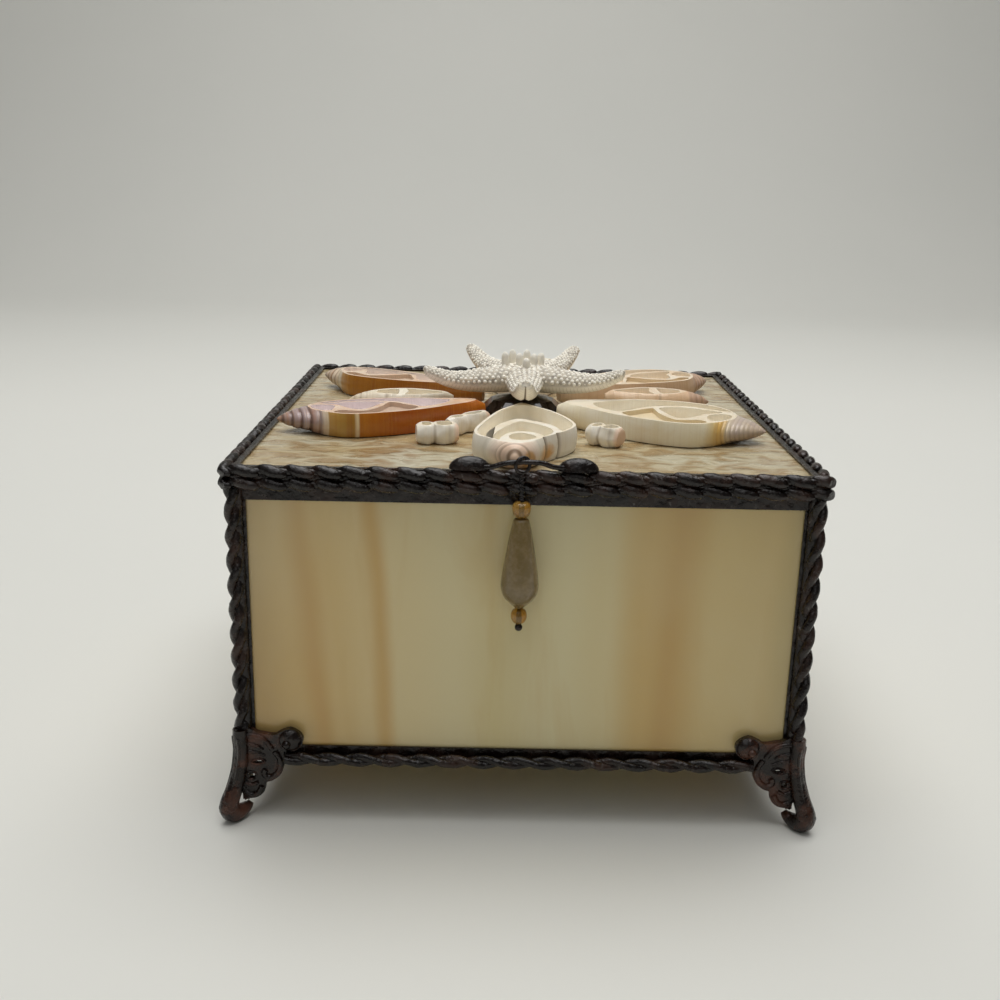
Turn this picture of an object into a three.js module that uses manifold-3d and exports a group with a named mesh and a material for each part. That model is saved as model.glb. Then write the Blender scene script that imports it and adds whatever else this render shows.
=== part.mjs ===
// A square jewelry box of slag glass panels soldered together, on four cast corner feet.
// Its lid lifts off, and carries sliced shells laid out like a flower with a starfish on top.
// Millimetres, +Z up, front towards -Y, origin on the ground under the middle of the box.
import * as THREE from "three";
import { mergeVertices } from "three/addons/utils/BufferGeometryUtils.js";
import Module from "manifold-3d";

// Glass body
const bodyWidth = 149.2; // over the outer faces of the side panels
const bodyDepth = 149.2; // over the outer faces of the front and back panels
const panelHeight = 77.5;
const glassThickness = 3;
const baseThickness = 3;
const standHeight = 19.1; // ground to the lower edge of the glass
const fitGap = 0.25; // between pieces that touch
const sliver = 0.12; // faces finer than this are merged away

// Solder seams
const seamThickness = 0.6;
const cornerLap = 1.05; // solder over a panel's upright edge
const topLap = 3.7; // solder over a panel's upper edge
const bottomLap = 2.5; // solder over a panel's lower edge
const innerLap = 2.1; // solder under the base glass

// Twisted wire trims
const cornerWireAcross = 4.2;
const cornerWireOut = 2.25; // wire centre beyond the glass corner, both ways
const cornerWireLobe = 6.6; // length of one half turn
const bottomWireAcross = 3.6;
const bottomWireLobe = 8.4;
const bottomWireDrop = 0.5; // wire centre below the glass edge
const lidWireAcross = 3.1;
const lidWireLobe = 8.4;
const lidWireGap = 0.15; // between the two rounds of lid wire
const stepsPerLobe = 2;

// Lid
const lidOverhang = 1.2; // lid glass beyond the body glass, each side
const lidGlassThickness = 3;
const lidRestGap = 0.3; // between the lid and the rim it rests on
const lidSeamThickness = 0.5;
const lidTopLap = 0.8;
const lidBottomLap = 2.5;
const lidWireRise = 1.5; // upper wire above the lid glass

// Cast feet, measured outwards from the corner of the glass and upwards from the ground
const footHeight = 27.3;
const wingThickness = 1.9;
const wingReach = 11; // from the glass corner back to the middle of the knob
const knobRadius = 3.4;
const knobHeight = 24.1;
const knobBulge = 1.3;
const legProud = 0.4; // leg above the wings at the corner
const upperLobeRadius = 5;
const lowerLobeRadius = 4;
const legSides = 5;
const toeFlat = 0.45; // how deep the toe is dressed flat

// Shell slices and starfish on the lid
const spindleHeight = 7;
const amberHeight = 7;
const spiralHeight = 7;
const sideShellHeight = 7;
const chipHeight = 5.5;
const shellSides = 8; // facets round a shell, with a flat one to each side
const hubRadius = 13.5;
const starReach = 31; // of a back arm; the side arms are longer and the front one shorter
const starBodyHeight = 8.8;
const starKnobHeight = 4.2;

// Pull on the front edge of the lid
const pullAside = -1.2; // the drop hangs a little left of the middle
const bailWire = 1.2;
const bailRise = 3.6; // bail above the upper trim wire
const blobLength = 11;
const blobHeight = 3.4;
const ringRadius = 1.9;
const ringWire = 0.9;
const pinRadius = 0.5;
const stemRadius = 0.85;
const stemGap = 0.2; // between the stem and the trim behind it
const boreGap = 0.2;
const dropLength = 24.8;
const dropRadius = 5.15;
const topBeadRadius = 2.45;
const topBeadLength = 4.3;
const lowBeadRadius = 2.15;
const lowBeadLength = 4.2;
const pinBallRadius = 1.05;
const stemLength = 7.7;

// Places that follow from the sizes
const halfWidth = bodyWidth / 2;
const halfDepth = bodyDepth / 2;
const seamReach = fitGap + seamThickness;
const panelBottom = standHeight;
const panelTop = standHeight + panelHeight;
const bodyTop = panelTop + seamReach;
const lidBottom = bodyTop + lidRestGap;
const lidGlassBottom = lidBottom + lidSeamThickness + fitGap;
const lidGlassTop = lidGlassBottom + lidGlassThickness;
const lidHalfWidth = halfWidth + lidOverhang;
const lidHalfDepth = halfDepth + lidOverhang;
const lidSeamOut = fitGap + seamThickness;
const lidWireOut = lidSeamOut + fitGap + lidWireAcross / 2;
const upperWireZ = lidGlassTop + lidWireRise - lidWireAcross / 2;
const lowerWireZ = upperWireZ - lidWireAcross - lidWireGap;
const trimTop = upperWireZ + lidWireAcross / 2;
const ornamentBase = lidGlassTop + fitGap;

const wasm = await Module();
wasm.setup();

const finishes = {
  slagGlass: { color: 0xd9c7a0, roughness: 0.22, metalness: 0 },
  lidGlass: { color: 0xe6dcc2, roughness: 0.25, metalness: 0 },
  solder: { color: 0x2a2320, roughness: 0.38, metalness: 0.85 },
  castMetal: { color: 0x3b2820, roughness: 0.5, metalness: 0.8 },
  amberShell: { color: 0xb87430, roughness: 0.35, metalness: 0 },
  whiteShell: { color: 0xeadfcb, roughness: 0.45, metalness: 0 },
  starfish: { color: 0xe9e4d8, roughness: 0.85, metalness: 0 },
  darkGlass: { color: 0x17110f, roughness: 0.3, metalness: 0 },
  amberBead: { color: 0xb98a3a, roughness: 0.12, metalness: 0 },
  smokyBead: { color: 0x7d6a52, roughness: 0.2, metalness: 0 },
};
const materials = Object.fromEntries(
  Object.entries(finishes).map(([name, values]) => [name, new THREE.MeshStandardMaterial(values)]),
);

function solid(geometry) {
  const bare = geometry.clone();
  bare.deleteAttribute("normal");
  bare.deleteAttribute("uv");
  const merged = mergeVertices(bare, 1e-4);
  return new wasm.Manifold(
    new wasm.Mesh({
      numProp: 3,
      vertProperties: merged.attributes.position.array,
      triVerts: new Uint32Array(merged.index.array),
    }),
  );
}

function geometryOf(body) {
  const mesh = body.simplify(sliver).getMesh();
  const geometry = new THREE.BufferGeometry();
  geometry.setAttribute("position", new THREE.BufferAttribute(mesh.vertProperties, 3));
  geometry.setIndex(new THREE.BufferAttribute(mesh.triVerts, 1));
  geometry.computeVertexNormals();
  return geometry;
}

// A box between two corners
function block(x0, x1, y0, y1, z0, z1) {
  const geometry = new THREE.BoxGeometry(x1 - x0, y1 - y0, z1 - z0);
  geometry.translate((x0 + x1) / 2, (y0 + y1) / 2, (z0 + z1) / 2);
  return geometry;
}

function piece(name, geometry, finish) {
  const mesh = new THREE.Mesh(geometry, materials[finish]);
  mesh.name = name;
  return mesh;
}

// A closed body through rings of equal counts of points
function loft(rings) {
  const sides = rings[0].length;
  const points = rings.flat();
  const faces = [];
  for (let r = 0; r + 1 < rings.length; r++) {
    for (let i = 0; i < sides; i++) {
      const a = r * sides + i;
      const b = r * sides + ((i + 1) % sides);
      faces.push(a, b, b + sides, a, b + sides, a + sides);
    }
  }
  const last = (rings.length - 1) * sides;
  for (let i = 1; i + 1 < sides; i++) {
    faces.push(0, i + 1, i, last, last + i, last + i + 1);
  }
  const geometry = new THREE.BufferGeometry().setFromPoints(points);
  geometry.setIndex(faces);
  return geometry;
}

// Two strands twisted together, along +X from the origin
function twistedWire(length, across, lobe) {
  const lobes = Math.max(1, Math.round(length / lobe));
  const a = across / 2;
  const b = across / 4;
  const section = new THREE.Shape();
  section.moveTo(-a, -b);
  section.lineTo(a, -b);
  section.lineTo(a, b);
  section.lineTo(-a, b);
  const bar = new THREE.ExtrudeGeometry(section, {
    depth: length,
    steps: lobes * stepsPerLobe,
    bevelEnabled: false,
  });
  const position = bar.getAttribute("position");
  const point = new THREE.Vector3();
  const axis = new THREE.Vector3(0, 0, 1);
  for (let i = 0; i < position.count; i++) {
    point.fromBufferAttribute(position, i);
    point.applyAxisAngle(axis, (point.z / length) * lobes * Math.PI);
    position.setXYZ(i, point.x, point.y, point.z);
  }
  bar.rotateY(Math.PI / 2);
  return bar;
}

// Glass panels, as boxes: front and back run the full width, the sides fit between them
const sideHalf = halfDepth - glassThickness - fitGap;
const baseX = halfWidth - glassThickness - fitGap;
const baseY = halfDepth - glassThickness - fitGap;
const panels = {
  front_glass: [-halfWidth, halfWidth, -halfDepth, -halfDepth + glassThickness, panelBottom, panelTop],
  back_glass: [-halfWidth, halfWidth, halfDepth - glassThickness, halfDepth, panelBottom, panelTop],
  left_glass: [-halfWidth, -halfWidth + glassThickness, -sideHalf, sideHalf, panelBottom, panelTop],
  right_glass: [halfWidth - glassThickness, halfWidth, -sideHalf, sideHalf, panelBottom, panelTop],
  base_glass: [-baseX, baseX, -baseY, baseY, panelBottom, panelBottom + baseThickness],
};

function grown(box) {
  return block(
    ...box.map((value, i) => value + (i % 2 ? fitGap : -fitGap)),
  );
}

function buildGlass() {
  const group = new THREE.Group();
  for (const [name, box] of Object.entries(panels)) {
    group.add(piece(name, block(...box), "slagGlass"));
  }
  return group;
}

// A seam along one edge of the body: a bar with its corners eased, less the glass it wraps
function seamBar(halfX, y0, y1, z0, z1, ease) {
  const plan = new THREE.Shape();
  plan.moveTo(-halfX + ease, y0);
  plan.lineTo(halfX - ease, y0);
  plan.lineTo(halfX, y0 + ease);
  plan.lineTo(halfX, y1);
  plan.lineTo(-halfX, y1);
  plan.lineTo(-halfX, y0 + ease);
  const bar = new THREE.ExtrudeGeometry(plan, { depth: z1 - z0, bevelEnabled: false });
  bar.translate(0, 0, z0);
  return bar;
}

// How much of a seam's outer corner is eased so that the corner wire clears it
const wireInside = cornerWireOut - (cornerWireAcross * 0.54 + fitGap) / Math.SQRT2;
const cornerEase = 2 * (seamReach - wireInside);

function buildSeams() {
  const group = new THREE.Group();
  const glass = Object.values(panels).map((box) => solid(grown(box)));
  const outX = halfWidth + seamReach;
  const outY = halfDepth + seamReach;
  const levels = {
    top: {
      inner: glassThickness + seamReach,
      z: [panelTop - topLap, bodyTop],
    },
    bottom: {
      inner: glassThickness + innerLap,
      z: [panelBottom - seamReach, panelBottom + bottomLap],
    },
  };
  for (const [level, { inner, z }] of Object.entries(levels)) {
    const sides = {
      front: { turn: 0, half: outX, reach: outY, edge: halfDepth, ease: cornerEase },
      right: { turn: 1, half: halfDepth - inner - fitGap, reach: outX, edge: halfWidth, ease: 0.01 },
      back: { turn: 2, half: outX, reach: outY, edge: halfDepth, ease: cornerEase },
      left: { turn: 3, half: halfDepth - inner - fitGap, reach: outX, edge: halfWidth, ease: 0.01 },
    };
    for (const [side, { turn, half, reach, edge, ease }] of Object.entries(sides)) {
      const bar = seamBar(half, -reach, -edge + inner, z[0], z[1], ease);
      bar.rotateZ((turn * Math.PI) / 2);
      const cut = glass.reduce((body, pane) => body.subtract(pane), solid(bar));
      group.add(piece(`${level}_seam_${side}`, geometryOf(cut), "solder"));
    }
  }
  return group;
}

// The four corners of the body, each a group whose +X and -Y point away from the box
const corners = [
  { name: "front_right", x: halfWidth, y: -halfDepth, turn: 0 },
  { name: "back_right", x: halfWidth, y: halfDepth, turn: 1 },
  { name: "back_left", x: -halfWidth, y: halfDepth, turn: 2 },
  { name: "front_left", x: -halfWidth, y: -halfDepth, turn: 3 },
];

function cornerSeamGeometry() {
  const low = panelBottom + bottomLap + fitGap;
  const high = panelTop - topLap - fitGap;
  const plan = new THREE.Shape();
  plan.moveTo(-cornerLap, -seamReach);
  plan.lineTo(seamReach - cornerEase, -seamReach);
  plan.lineTo(seamReach, -seamReach + cornerEase);
  plan.lineTo(seamReach, cornerLap);
  plan.lineTo(fitGap, cornerLap);
  plan.lineTo(fitGap, -fitGap);
  plan.lineTo(-cornerLap, -fitGap);
  const strip = new THREE.ExtrudeGeometry(plan, { depth: high - low, bevelEnabled: false });
  strip.translate(0, 0, low);
  return strip;
}

function cornerWireGeometry() {
  const low = footHeight + fitGap;
  const high = lowerWireZ - lidWireAcross / 2 - lidRestGap;
  const wire = twistedWire(high - low, cornerWireAcross, cornerWireLobe);
  wire.rotateY(-Math.PI / 2);
  wire.translate(cornerWireOut, -cornerWireOut, low);
  return wire;
}

// Points along part of an ellipse
function arc(x, y, radiusX, radiusY, from, to, steps) {
  const points = [];
  for (let i = 0; i <= steps; i++) {
    const angle = from + ((to - from) * i) / steps;
    points.push(new THREE.Vector2(x + radiusX * Math.cos(angle), y + radiusY * Math.sin(angle)));
  }
  return points;
}

// How far an upper lobe of a foot reaches back from the glass corner
const lobeStep = 6.7;
const upperLobeReach = wingReach - lobeStep + upperLobeRadius;

// One wing of a foot, drawn outwards along +X and up, lying against the front of the box
function wingGeometry() {
  const outer = seamReach + fitGap + wingThickness;
  const knobX = -wingReach;
  const upper = { x: knobX + lobeStep, z: knobHeight - 7.9 };
  const lower = { x: upper.x + 4.3, z: upper.z - 6.2 };
  const outline = new THREE.Shape([
    new THREE.Vector2(outer, footHeight - legProud),
    ...arc(knobX, knobHeight, knobRadius, knobRadius, 0.7, 5.1, 5),
    ...arc(upper.x, upper.z, upperLobeRadius, upperLobeRadius, 2.6, 4.8, 3),
    ...arc(lower.x, lower.z, lowerLobeRadius, lowerLobeRadius, 3.1, 4.6, 2),
    new THREE.Vector2(outer, lower.z - lowerLobeRadius),
  ]);
  const whole = 2 * Math.PI;
  outline.holes.push(
    new THREE.Path(arc(upper.x + 2.3, upper.z + 1.1, 1.9, 0.85, 0, -whole * 0.75, 3)),
    new THREE.Path(arc(lower.x + 0.1, lower.z + 3, 1.4, 1.2, 0.4, 0.4 - whole * 0.75, 3)),
  );
  const wing = new THREE.ExtrudeGeometry(outline, { depth: wingThickness, bevelEnabled: false });
  wing.rotateX(Math.PI / 2);
  wing.translate(0, -seamReach - fitGap, 0);
  return wing;
}

// The knob's domed face, on the front of a wing
function knobGeometry() {
  const rim = knobRadius * 0.85;
  const profile = [[0, -1], [rim, -1], [rim, 0], [rim * 0.5, knobBulge], [0, knobBulge]];
  const dome = new THREE.LatheGeometry(profile.map(([r, h]) => new THREE.Vector2(r, h)), 5);
  dome.rotateX(Math.PI);
  dome.translate(-wingReach, -seamReach - fitGap - wingThickness, knobHeight);
  return dome;
}

// The leg runs down the corner, flares out and curls back under as a toe
function legGeometry() {
  const start = seamReach + fitGap + 1.75;
  const sole = Math.cos(Math.PI / legSides);
  const stations = [
    [0, footHeight, 2.3],
    [-0.2, 21, 2.1],
    [0.6, 15.5, 2.1],
    [1.9, 10.5, 2.1],
    [3.2, 6.4, 2.2],
    [3.4, 3.9, 2.3],
    [2.4, 2.2 * sole - toeFlat, 2.2],
    [0.4, 1.9 * sole - toeFlat, 1.9],
    [-1.5, 2.9, 1.1],
  ];
  const path = stations.map(([out, z]) => new THREE.Vector2(start + out, z));
  const rings = stations.map(([, , radius], i) => {
    const before = path[Math.max(i - 1, 0)];
    const after = path[Math.min(i + 1, path.length - 1)];
    const along = after.clone().sub(before).normalize();
    const ring = [];
    for (let k = 0; k < legSides; k++) {
      const angle = -((k + 0.5) / legSides) * 2 * Math.PI - Math.PI / 10;
      const across = radius * Math.cos(angle);
      const normal = radius * Math.sin(angle);
      const out = path[i].x + normal * along.y;
      const z = i === 0 ? footHeight : path[i].y - normal * along.x;
      ring.push(new THREE.Vector3(out + across * 0.7071, -out + across * 0.7071, z));
    }
    return ring;
  });
  return loft(rings);
}

function footGeometry() {
  const front = solid(wingGeometry()).add(solid(knobGeometry()));
  const mirrored = front.getMesh();
  const points = mirrored.vertProperties;
  for (let i = 0; i < points.length; i += 3) {
    [points[i], points[i + 1]] = [-points[i + 1], -points[i]];
  }
  const faces = mirrored.triVerts;
  for (let i = 0; i < faces.length; i += 3) {
    [faces[i + 1], faces[i + 2]] = [faces[i + 2], faces[i + 1]];
  }
  const side = new wasm.Manifold(new wasm.Mesh({ numProp: 3, vertProperties: points, triVerts: faces }));
  const below = block(-30, 30, -30, 30, -10, 0);
  return geometryOf(front.add(side).add(solid(legGeometry())).subtract(solid(below)));
}

function buildCorners() {
  const group = new THREE.Group();
  for (const { name, x, y, turn } of corners) {
    const corner = new THREE.Group();
    corner.position.set(x, y, 0);
    corner.rotation.z = (turn * Math.PI) / 2;
    corner.add(piece(`corner_seam_${name}`, cornerSeamGeometry(), "solder"));
    corner.add(piece(`corner_wire_${name}`, cornerWireGeometry(), "solder"));
    corner.add(piece(`foot_${name}`, footGeometry(), "castMetal"));
    group.add(corner);
  }
  return group;
}

// Twisted wires between the feet, along the lower edges
function buildBottomWires() {
  const group = new THREE.Group();
  const sides = { front: [halfWidth, halfDepth], right: [halfDepth, halfWidth] };
  sides.back = sides.front;
  sides.left = sides.right;
  const names = ["front", "right", "back", "left"];
  names.forEach((name, turn) => {
    const [along, out] = sides[name];
    const half = along - upperLobeReach - fitGap;
    const wire = twistedWire(2 * half, bottomWireAcross, bottomWireLobe);
    const mesh = piece(`bottom_wire_${name}`, wire, "solder");
    mesh.position.set(
      -half,
      -out - seamReach - fitGap - bottomWireAcross / 2,
      panelBottom - bottomWireDrop,
    );
    const side = new THREE.Group();
    side.rotation.z = (turn * Math.PI) / 2;
    side.add(mesh);
    group.add(side);
  });
  return group;
}

// The lid's glass, its soldered edge and two rounds of twisted wire
function buildLid() {
  const group = new THREE.Group();
  const pane = [-lidHalfWidth, lidHalfWidth, -lidHalfDepth, lidHalfDepth, lidGlassBottom, lidGlassTop];
  group.add(piece("lid_glass", block(...pane), "lidGlass"));

  const outX = lidHalfWidth + lidSeamOut;
  const outY = lidHalfDepth + lidSeamOut;
  const middle = (lidGlassBottom + lidGlassTop) / 2;
  const rim = solid(block(-outX, outX, -outY, outY, lidBottom, lidGlassTop + fitGap + lidSeamThickness))
    .subtract(
      solid(
        block(
          -lidHalfWidth + lidBottomLap,
          lidHalfWidth - lidBottomLap,
          -lidHalfDepth + lidBottomLap,
          lidHalfDepth - lidBottomLap,
          lidBottom - 1,
          middle,
        ),
      ),
    )
    .subtract(
      solid(
        block(
          -lidHalfWidth + lidTopLap,
          lidHalfWidth - lidTopLap,
          -lidHalfDepth + lidTopLap,
          lidHalfDepth - lidTopLap,
          middle,
          lidGlassTop + 5,
        ),
      ),
    )
    .subtract(solid(grown(pane)));
  group.add(piece("lid_seam", geometryOf(rim), "solder"));

  const endX = lidHalfWidth + lidWireOut + 0.6;
  const endY = lidHalfDepth + lidWireOut - lidWireAcross / 2 - fitGap;
  const names = ["front", "right", "back", "left"];
  const levels = { upper: upperWireZ, lower: lowerWireZ };
  for (const [level, z] of Object.entries(levels)) {
    names.forEach((name, turn) => {
      const half = turn % 2 ? endY : endX;
      const out = turn % 2 ? lidHalfWidth : lidHalfDepth;
      const mesh = piece(
        `lid_${level}_wire_${name}`,
        twistedWire(2 * half, lidWireAcross, lidWireLobe),
        "solder",
      );
      mesh.position.set(-half, -out - lidWireOut, z);
      const side = new THREE.Group();
      side.rotation.z = (turn * Math.PI) / 2;
      side.add(mesh);
      group.add(side);
    });
  }
  return group;
}

const flatShare = Math.cos(Math.PI / shellSides);

// Shell outlines along the shell, as shares of its length: the half width to its left and to its
// right, as shares of its widest on that side
const spindleProfile = [
  [0, 0.1, 0.1], [0.07, 0.32, 0.32], [0.2, 0.54, 0.54], [0.35, 0.82, 0.8], [0.5, 0.98, 0.95],
  [0.62, 0.98, 1], [0.72, 0.88, 0.95], [0.81, 0.66, 0.7], [0.89, 0.44, 0.46], [1, 0.03, 0.03],
];
const spiralProfile = [
  [0, 0.05, 0.05], [0.1, 0.34, 0.22], [0.21, 0.67, 0.42], [0.36, 0.95, 0.58], [0.52, 1.1, 0.71],
  [0.64, 0.96, 0.79], [0.72, 0.76, 0.81], [0.8, 0.56, 0.76], [0.9, 0.4, 0.46], [1, 0.03, 0.03],
];
const coneProfile = [
  [0, 0.25, 0.25], [0.15, 0.7, 0.7], [0.4, 1, 1], [0.6, 0.92, 0.92], [0.8, 0.55, 0.55], [1, 0.03, 0.03],
];
const chipProfile = [
  [0, 0.72, 0.72], [0.25, 1, 1], [0.7, 0.95, 0.95], [1, 0.7, 0.7],
];

// Chambers laid open by the saw, in the same shares, the slice's left side positive
const spindleChambers = [
  [
    [0.2, 0.06], [0.27, 0.42], [0.36, 0.68], [0.48, 0.83], [0.65, 0.82], [0.8, 0.46],
    [0.7, 0.48], [0.59, 0.53], [0.5, 0.38], [0.42, 0.08], [0.35, -0.45], [0.28, -0.4],
  ],
  [
    [0.485, 0.13], [0.52, 0.31], [0.59, 0.43], [0.7, 0.36], [0.79, 0.28], [0.71, 0],
    [0.69, -0.22], [0.66, -0.5], [0.62, -0.56], [0.56, -0.34],
  ],
  [[0.73, -0.1], [0.765, 0.08], [0.81, 0.14], [0.84, -0.1], [0.81, -0.42], [0.76, -0.4]],
];
const spiralChambers = [
  [
    [0.08, 0.02], [0.21, 0.56], [0.36, 0.84], [0.52, 0.98], [0.64, 0.84],
    [0.6, 0.72], [0.52, 0.5], [0.42, 0], [0.56, -0.32], [0.7, -0.47], [0.83, -0.53],
    [0.83, -0.6], [0.72, -0.71], [0.5, -0.59],
  ],
  [
    [0.48, 0.02], [0.54, 0.4], [0.62, 0.6], [0.74, 0.6], [0.79, 0.48], [0.71, 0.26],
    [0.7, 0.03], [0.77, -0.2], [0.88, -0.28], [0.86, -0.38], [0.7, -0.35], [0.56, -0.18],
  ],
  [[0.74, 0.06], [0.76, 0.28], [0.84, 0.34], [0.89, 0.1], [0.87, -0.12], [0.78, -0.1]],
];
const coneChambers = [
  [[0.06, 0], [0.2, 0.52], [0.36, 0.8], [0.44, 0.4], [0.44, -0.4], [0.36, -0.8], [0.2, -0.52]],
  [[0.5, 0], [0.55, 0.66], [0.68, 0.56], [0.78, 0], [0.68, -0.56], [0.55, -0.66]],
];
const chipChambers = [[[0.3, 0.1], [0.5, 0.5], [0.78, 0.35], [0.75, -0.35], [0.45, -0.4]]];

// A slab sawn lengthwise from a shell, along +X from the origin, its sawn faces level
function sliceGeometry({ length, back, front, height, profile, chambers }) {
  const widths = [[0, 0, 0], ...profile, [1, 0, 0]].map(([s, left, right]) => {
    return { s, left: left * back, right: right * front, round: Math.max(left * back, right * front) };
  });
  const outline = widths.map(({ s, round }) => new THREE.Vector2(round / flatShare, s * length));
  const whole = new THREE.LatheGeometry(outline, shellSides);
  whole.rotateZ(-Math.PI / 2);
  const position = whole.getAttribute("position");
  for (let i = 0; i < position.count; i++) {
    const { left, right, round } = widths[i % widths.length];
    const side = position.getY(i) > 0 ? left : right;
    position.setY(i, round ? (position.getY(i) * side) / round : 0);
  }
  const slab = block(-length, 2 * length, -2 * length, 2 * length, -height / 2, height / 2);
  let body = solid(whole).intersect(solid(slab));
  for (const points of chambers) {
    const loop = points.map(([s, w]) => new THREE.Vector2(s * length, w * (w > 0 ? back : front)));
    const hole = new THREE.ExtrudeGeometry(new THREE.Shape(loop), {
      depth: height + 2,
      bevelEnabled: false,
    });
    hole.translate(0, 0, -height / 2 - 1);
    body = body.subtract(solid(hole));
  }
  const geometry = geometryOf(body);
  geometry.translate(0, 0, height / 2);
  return geometry;
}

// Each slice runs from its inner end to its tip, both given as shares of the lid glass measured
// from its middle. Its half widths are shares of its own length.
const spindle = { profile: spindleProfile, chambers: spindleChambers };
const cone = { profile: coneProfile, chambers: coneChambers };
const spiral = { profile: spiralProfile, chambers: spiralChambers };
const chip = { profile: chipProfile, chambers: chipChambers };
const slices = [
  {
    name: "shell_front_right",
    kind: spindle,
    from: [0.1451, -0.1715],
    to: [0.9314, -0.4881],
    left: 0.2615,
    right: 0.2537,
    height: spindleHeight,
    finish: "whiteShell",
  },
  {
    name: "shell_back_right",
    kind: spindle,
    from: [0.1649, 0.1847],
    to: [0.8905, 0.6201],
    left: 0.2183,
    right: 0.1949,
    height: spindleHeight,
    finish: "whiteShell",
  },
  {
    name: "shell_front_left",
    kind: spindle,
    from: [-0.1583, -0.1715],
    to: [-0.9631, -0.4288],
    left: 0.228,
    right: 0.128,
    height: amberHeight,
    finish: "amberShell",
  },
  {
    name: "shell_back_left",
    kind: spindle,
    from: [-0.1649, 0.1583],
    to: [-0.9235, 0.5805],
    left: 0.1915,
    right: 0.0821,
    height: amberHeight,
    finish: "amberShell",
  },
  {
    name: "spiral_front",
    kind: spiral,
    from: [-0.0066, -0.2309],
    to: [-0.0422, -0.9921],
    left: 0.2631,
    right: 0.2631,
    height: spiralHeight,
    finish: "whiteShell",
  },
  {
    name: "spiral_back",
    kind: spiral,
    from: [0.0132, 0.2309],
    to: [0.1055, 0.9697],
    left: 0.2658,
    right: 0.2658,
    height: spiralHeight,
    finish: "whiteShell",
  },
  {
    name: "shell_right",
    kind: cone,
    from: [0.3562, 0.066],
    to: [0.8113, 0.0923],
    left: 0.217,
    right: 0.217,
    height: sideShellHeight,
    finish: "whiteShell",
  },
  {
    name: "shell_left",
    kind: cone,
    from: [-0.2902, -0.0422],
    to: [-0.7388, -0.0554],
    left: 0.2058,
    right: 0.2058,
    height: sideShellHeight,
    finish: "whiteShell",
  },
  {
    name: "chip_front_left",
    kind: chip,
    from: [-0.409, -0.5805],
    to: [-0.2533, -0.5554],
    left: 0.3242,
    right: 0.3242,
    height: chipHeight,
    finish: "whiteShell",
  },
  {
    name: "chip_inner_left",
    kind: chip,
    from: [-0.2968, -0.4565],
    to: [-0.1478, -0.2836],
    left: 0.1503,
    right: 0.1503,
    height: chipHeight,
    finish: "whiteShell",
  },
  {
    name: "chip_front_right",
    kind: chip,
    from: [0.2493, -0.5172],
    to: [0.3641, -0.5923],
    left: 0.366,
    right: 0.366,
    height: chipHeight,
    finish: "whiteShell",
  },
];

function buildSlices() {
  const group = new THREE.Group();
  for (const { name, kind, from, to, left, right, height, finish } of slices) {
    const start = new THREE.Vector2(from[0] * lidHalfWidth, from[1] * lidHalfDepth);
    const along = new THREE.Vector2(to[0] * lidHalfWidth, to[1] * lidHalfDepth).sub(start);
    const length = along.length();
    const geometry = sliceGeometry({
      ...kind,
      length,
      back: left * length,
      front: right * length,
      height,
    });
    const mesh = piece(name, geometry, finish);
    mesh.position.set(start.x, start.y, ornamentBase);
    mesh.rotation.z = along.angle();
    group.add(mesh);
  }
  return group;
}

// Dark hub under the starfish
function buildHub() {
  const profile = [
    [0, 0],
    [hubRadius, 0],
    [hubRadius, spindleHeight * 0.25],
    [hubRadius * 0.75, spindleHeight * 0.7],
    [0, spindleHeight],
  ];
  const dome = lathe(profile, 11);
  const mesh = piece("hub", dome, "darkGlass");
  mesh.position.z = ornamentBase;
  return mesh;
}

// One arm, along +X from the middle, curling up at its tip
function armGeometry(reach, curl) {
  const stations = [
    [0.02, 5.4, 8.2, 0],
    [0.4, 4.6, 6.4, 0],
    [0.68, 3.5, 5, 0.2],
    [0.9, 2.6, 3.8, 0.66],
    [1, 1, 1.6, 1],
  ];
  const rings = stations.map(([share, half, tall, rise]) => {
    const x = share * reach;
    const z = tall / 2 + rise * curl;
    const ring = [];
    for (let k = 0; k < 6; k++) {
      const angle = (k / 6) * 2 * Math.PI;
      ring.push(
        new THREE.Vector3(
          x - Math.sin(angle) * (tall / 2) * rise * 0.5,
          half * Math.cos(angle),
          z + (tall / 2) * Math.sin(angle),
        ),
      );
    }
    return ring;
  });
  return loft(rings);
}

function buildStarfish() {
  // front arm first, then round to the right: share of the reach, and rise of the tip
  const arms = [
    [0.93, 7.6],
    [1.07, 5.4],
    [1, 9.6],
    [1, 9.6],
    [1.07, 5.4],
  ];
  const middle = new THREE.SphereGeometry(1, 8, 4);
  middle.rotateX(Math.PI / 2);
  middle.scale(9, 9, starBodyHeight / 2);
  middle.translate(0, 0, starBodyHeight / 2);
  let body = solid(middle);
  arms.forEach(([share, curl], i) => {
    const arm = armGeometry(share * starReach, curl);
    arm.rotateZ(-Math.PI / 2 + (i * 2 * Math.PI) / 5);
    body = body.add(solid(arm));
  });
  for (let i = 0; i < 6; i++) {
    const knob = new THREE.CylinderGeometry(1, 2, starKnobHeight + 2, 4, 1);
    knob.rotateX(Math.PI / 2);
    const around = (i / 5) * 2 * Math.PI - Math.PI / 2;
    const out = i < 5 ? 6.2 : 0;
    knob.translate(
      out * Math.cos(around),
      out * Math.sin(around),
      starBodyHeight - 2 + (starKnobHeight + 2) / 2 - (i < 5 ? 0.4 : 0),
    );
    body = body.add(solid(knob));
  }
  const mesh = piece("starfish", geometryOf(body), "starfish");
  mesh.position.set(0.3, 0, ornamentBase + spindleHeight + fitGap);
  return mesh;
}

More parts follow.
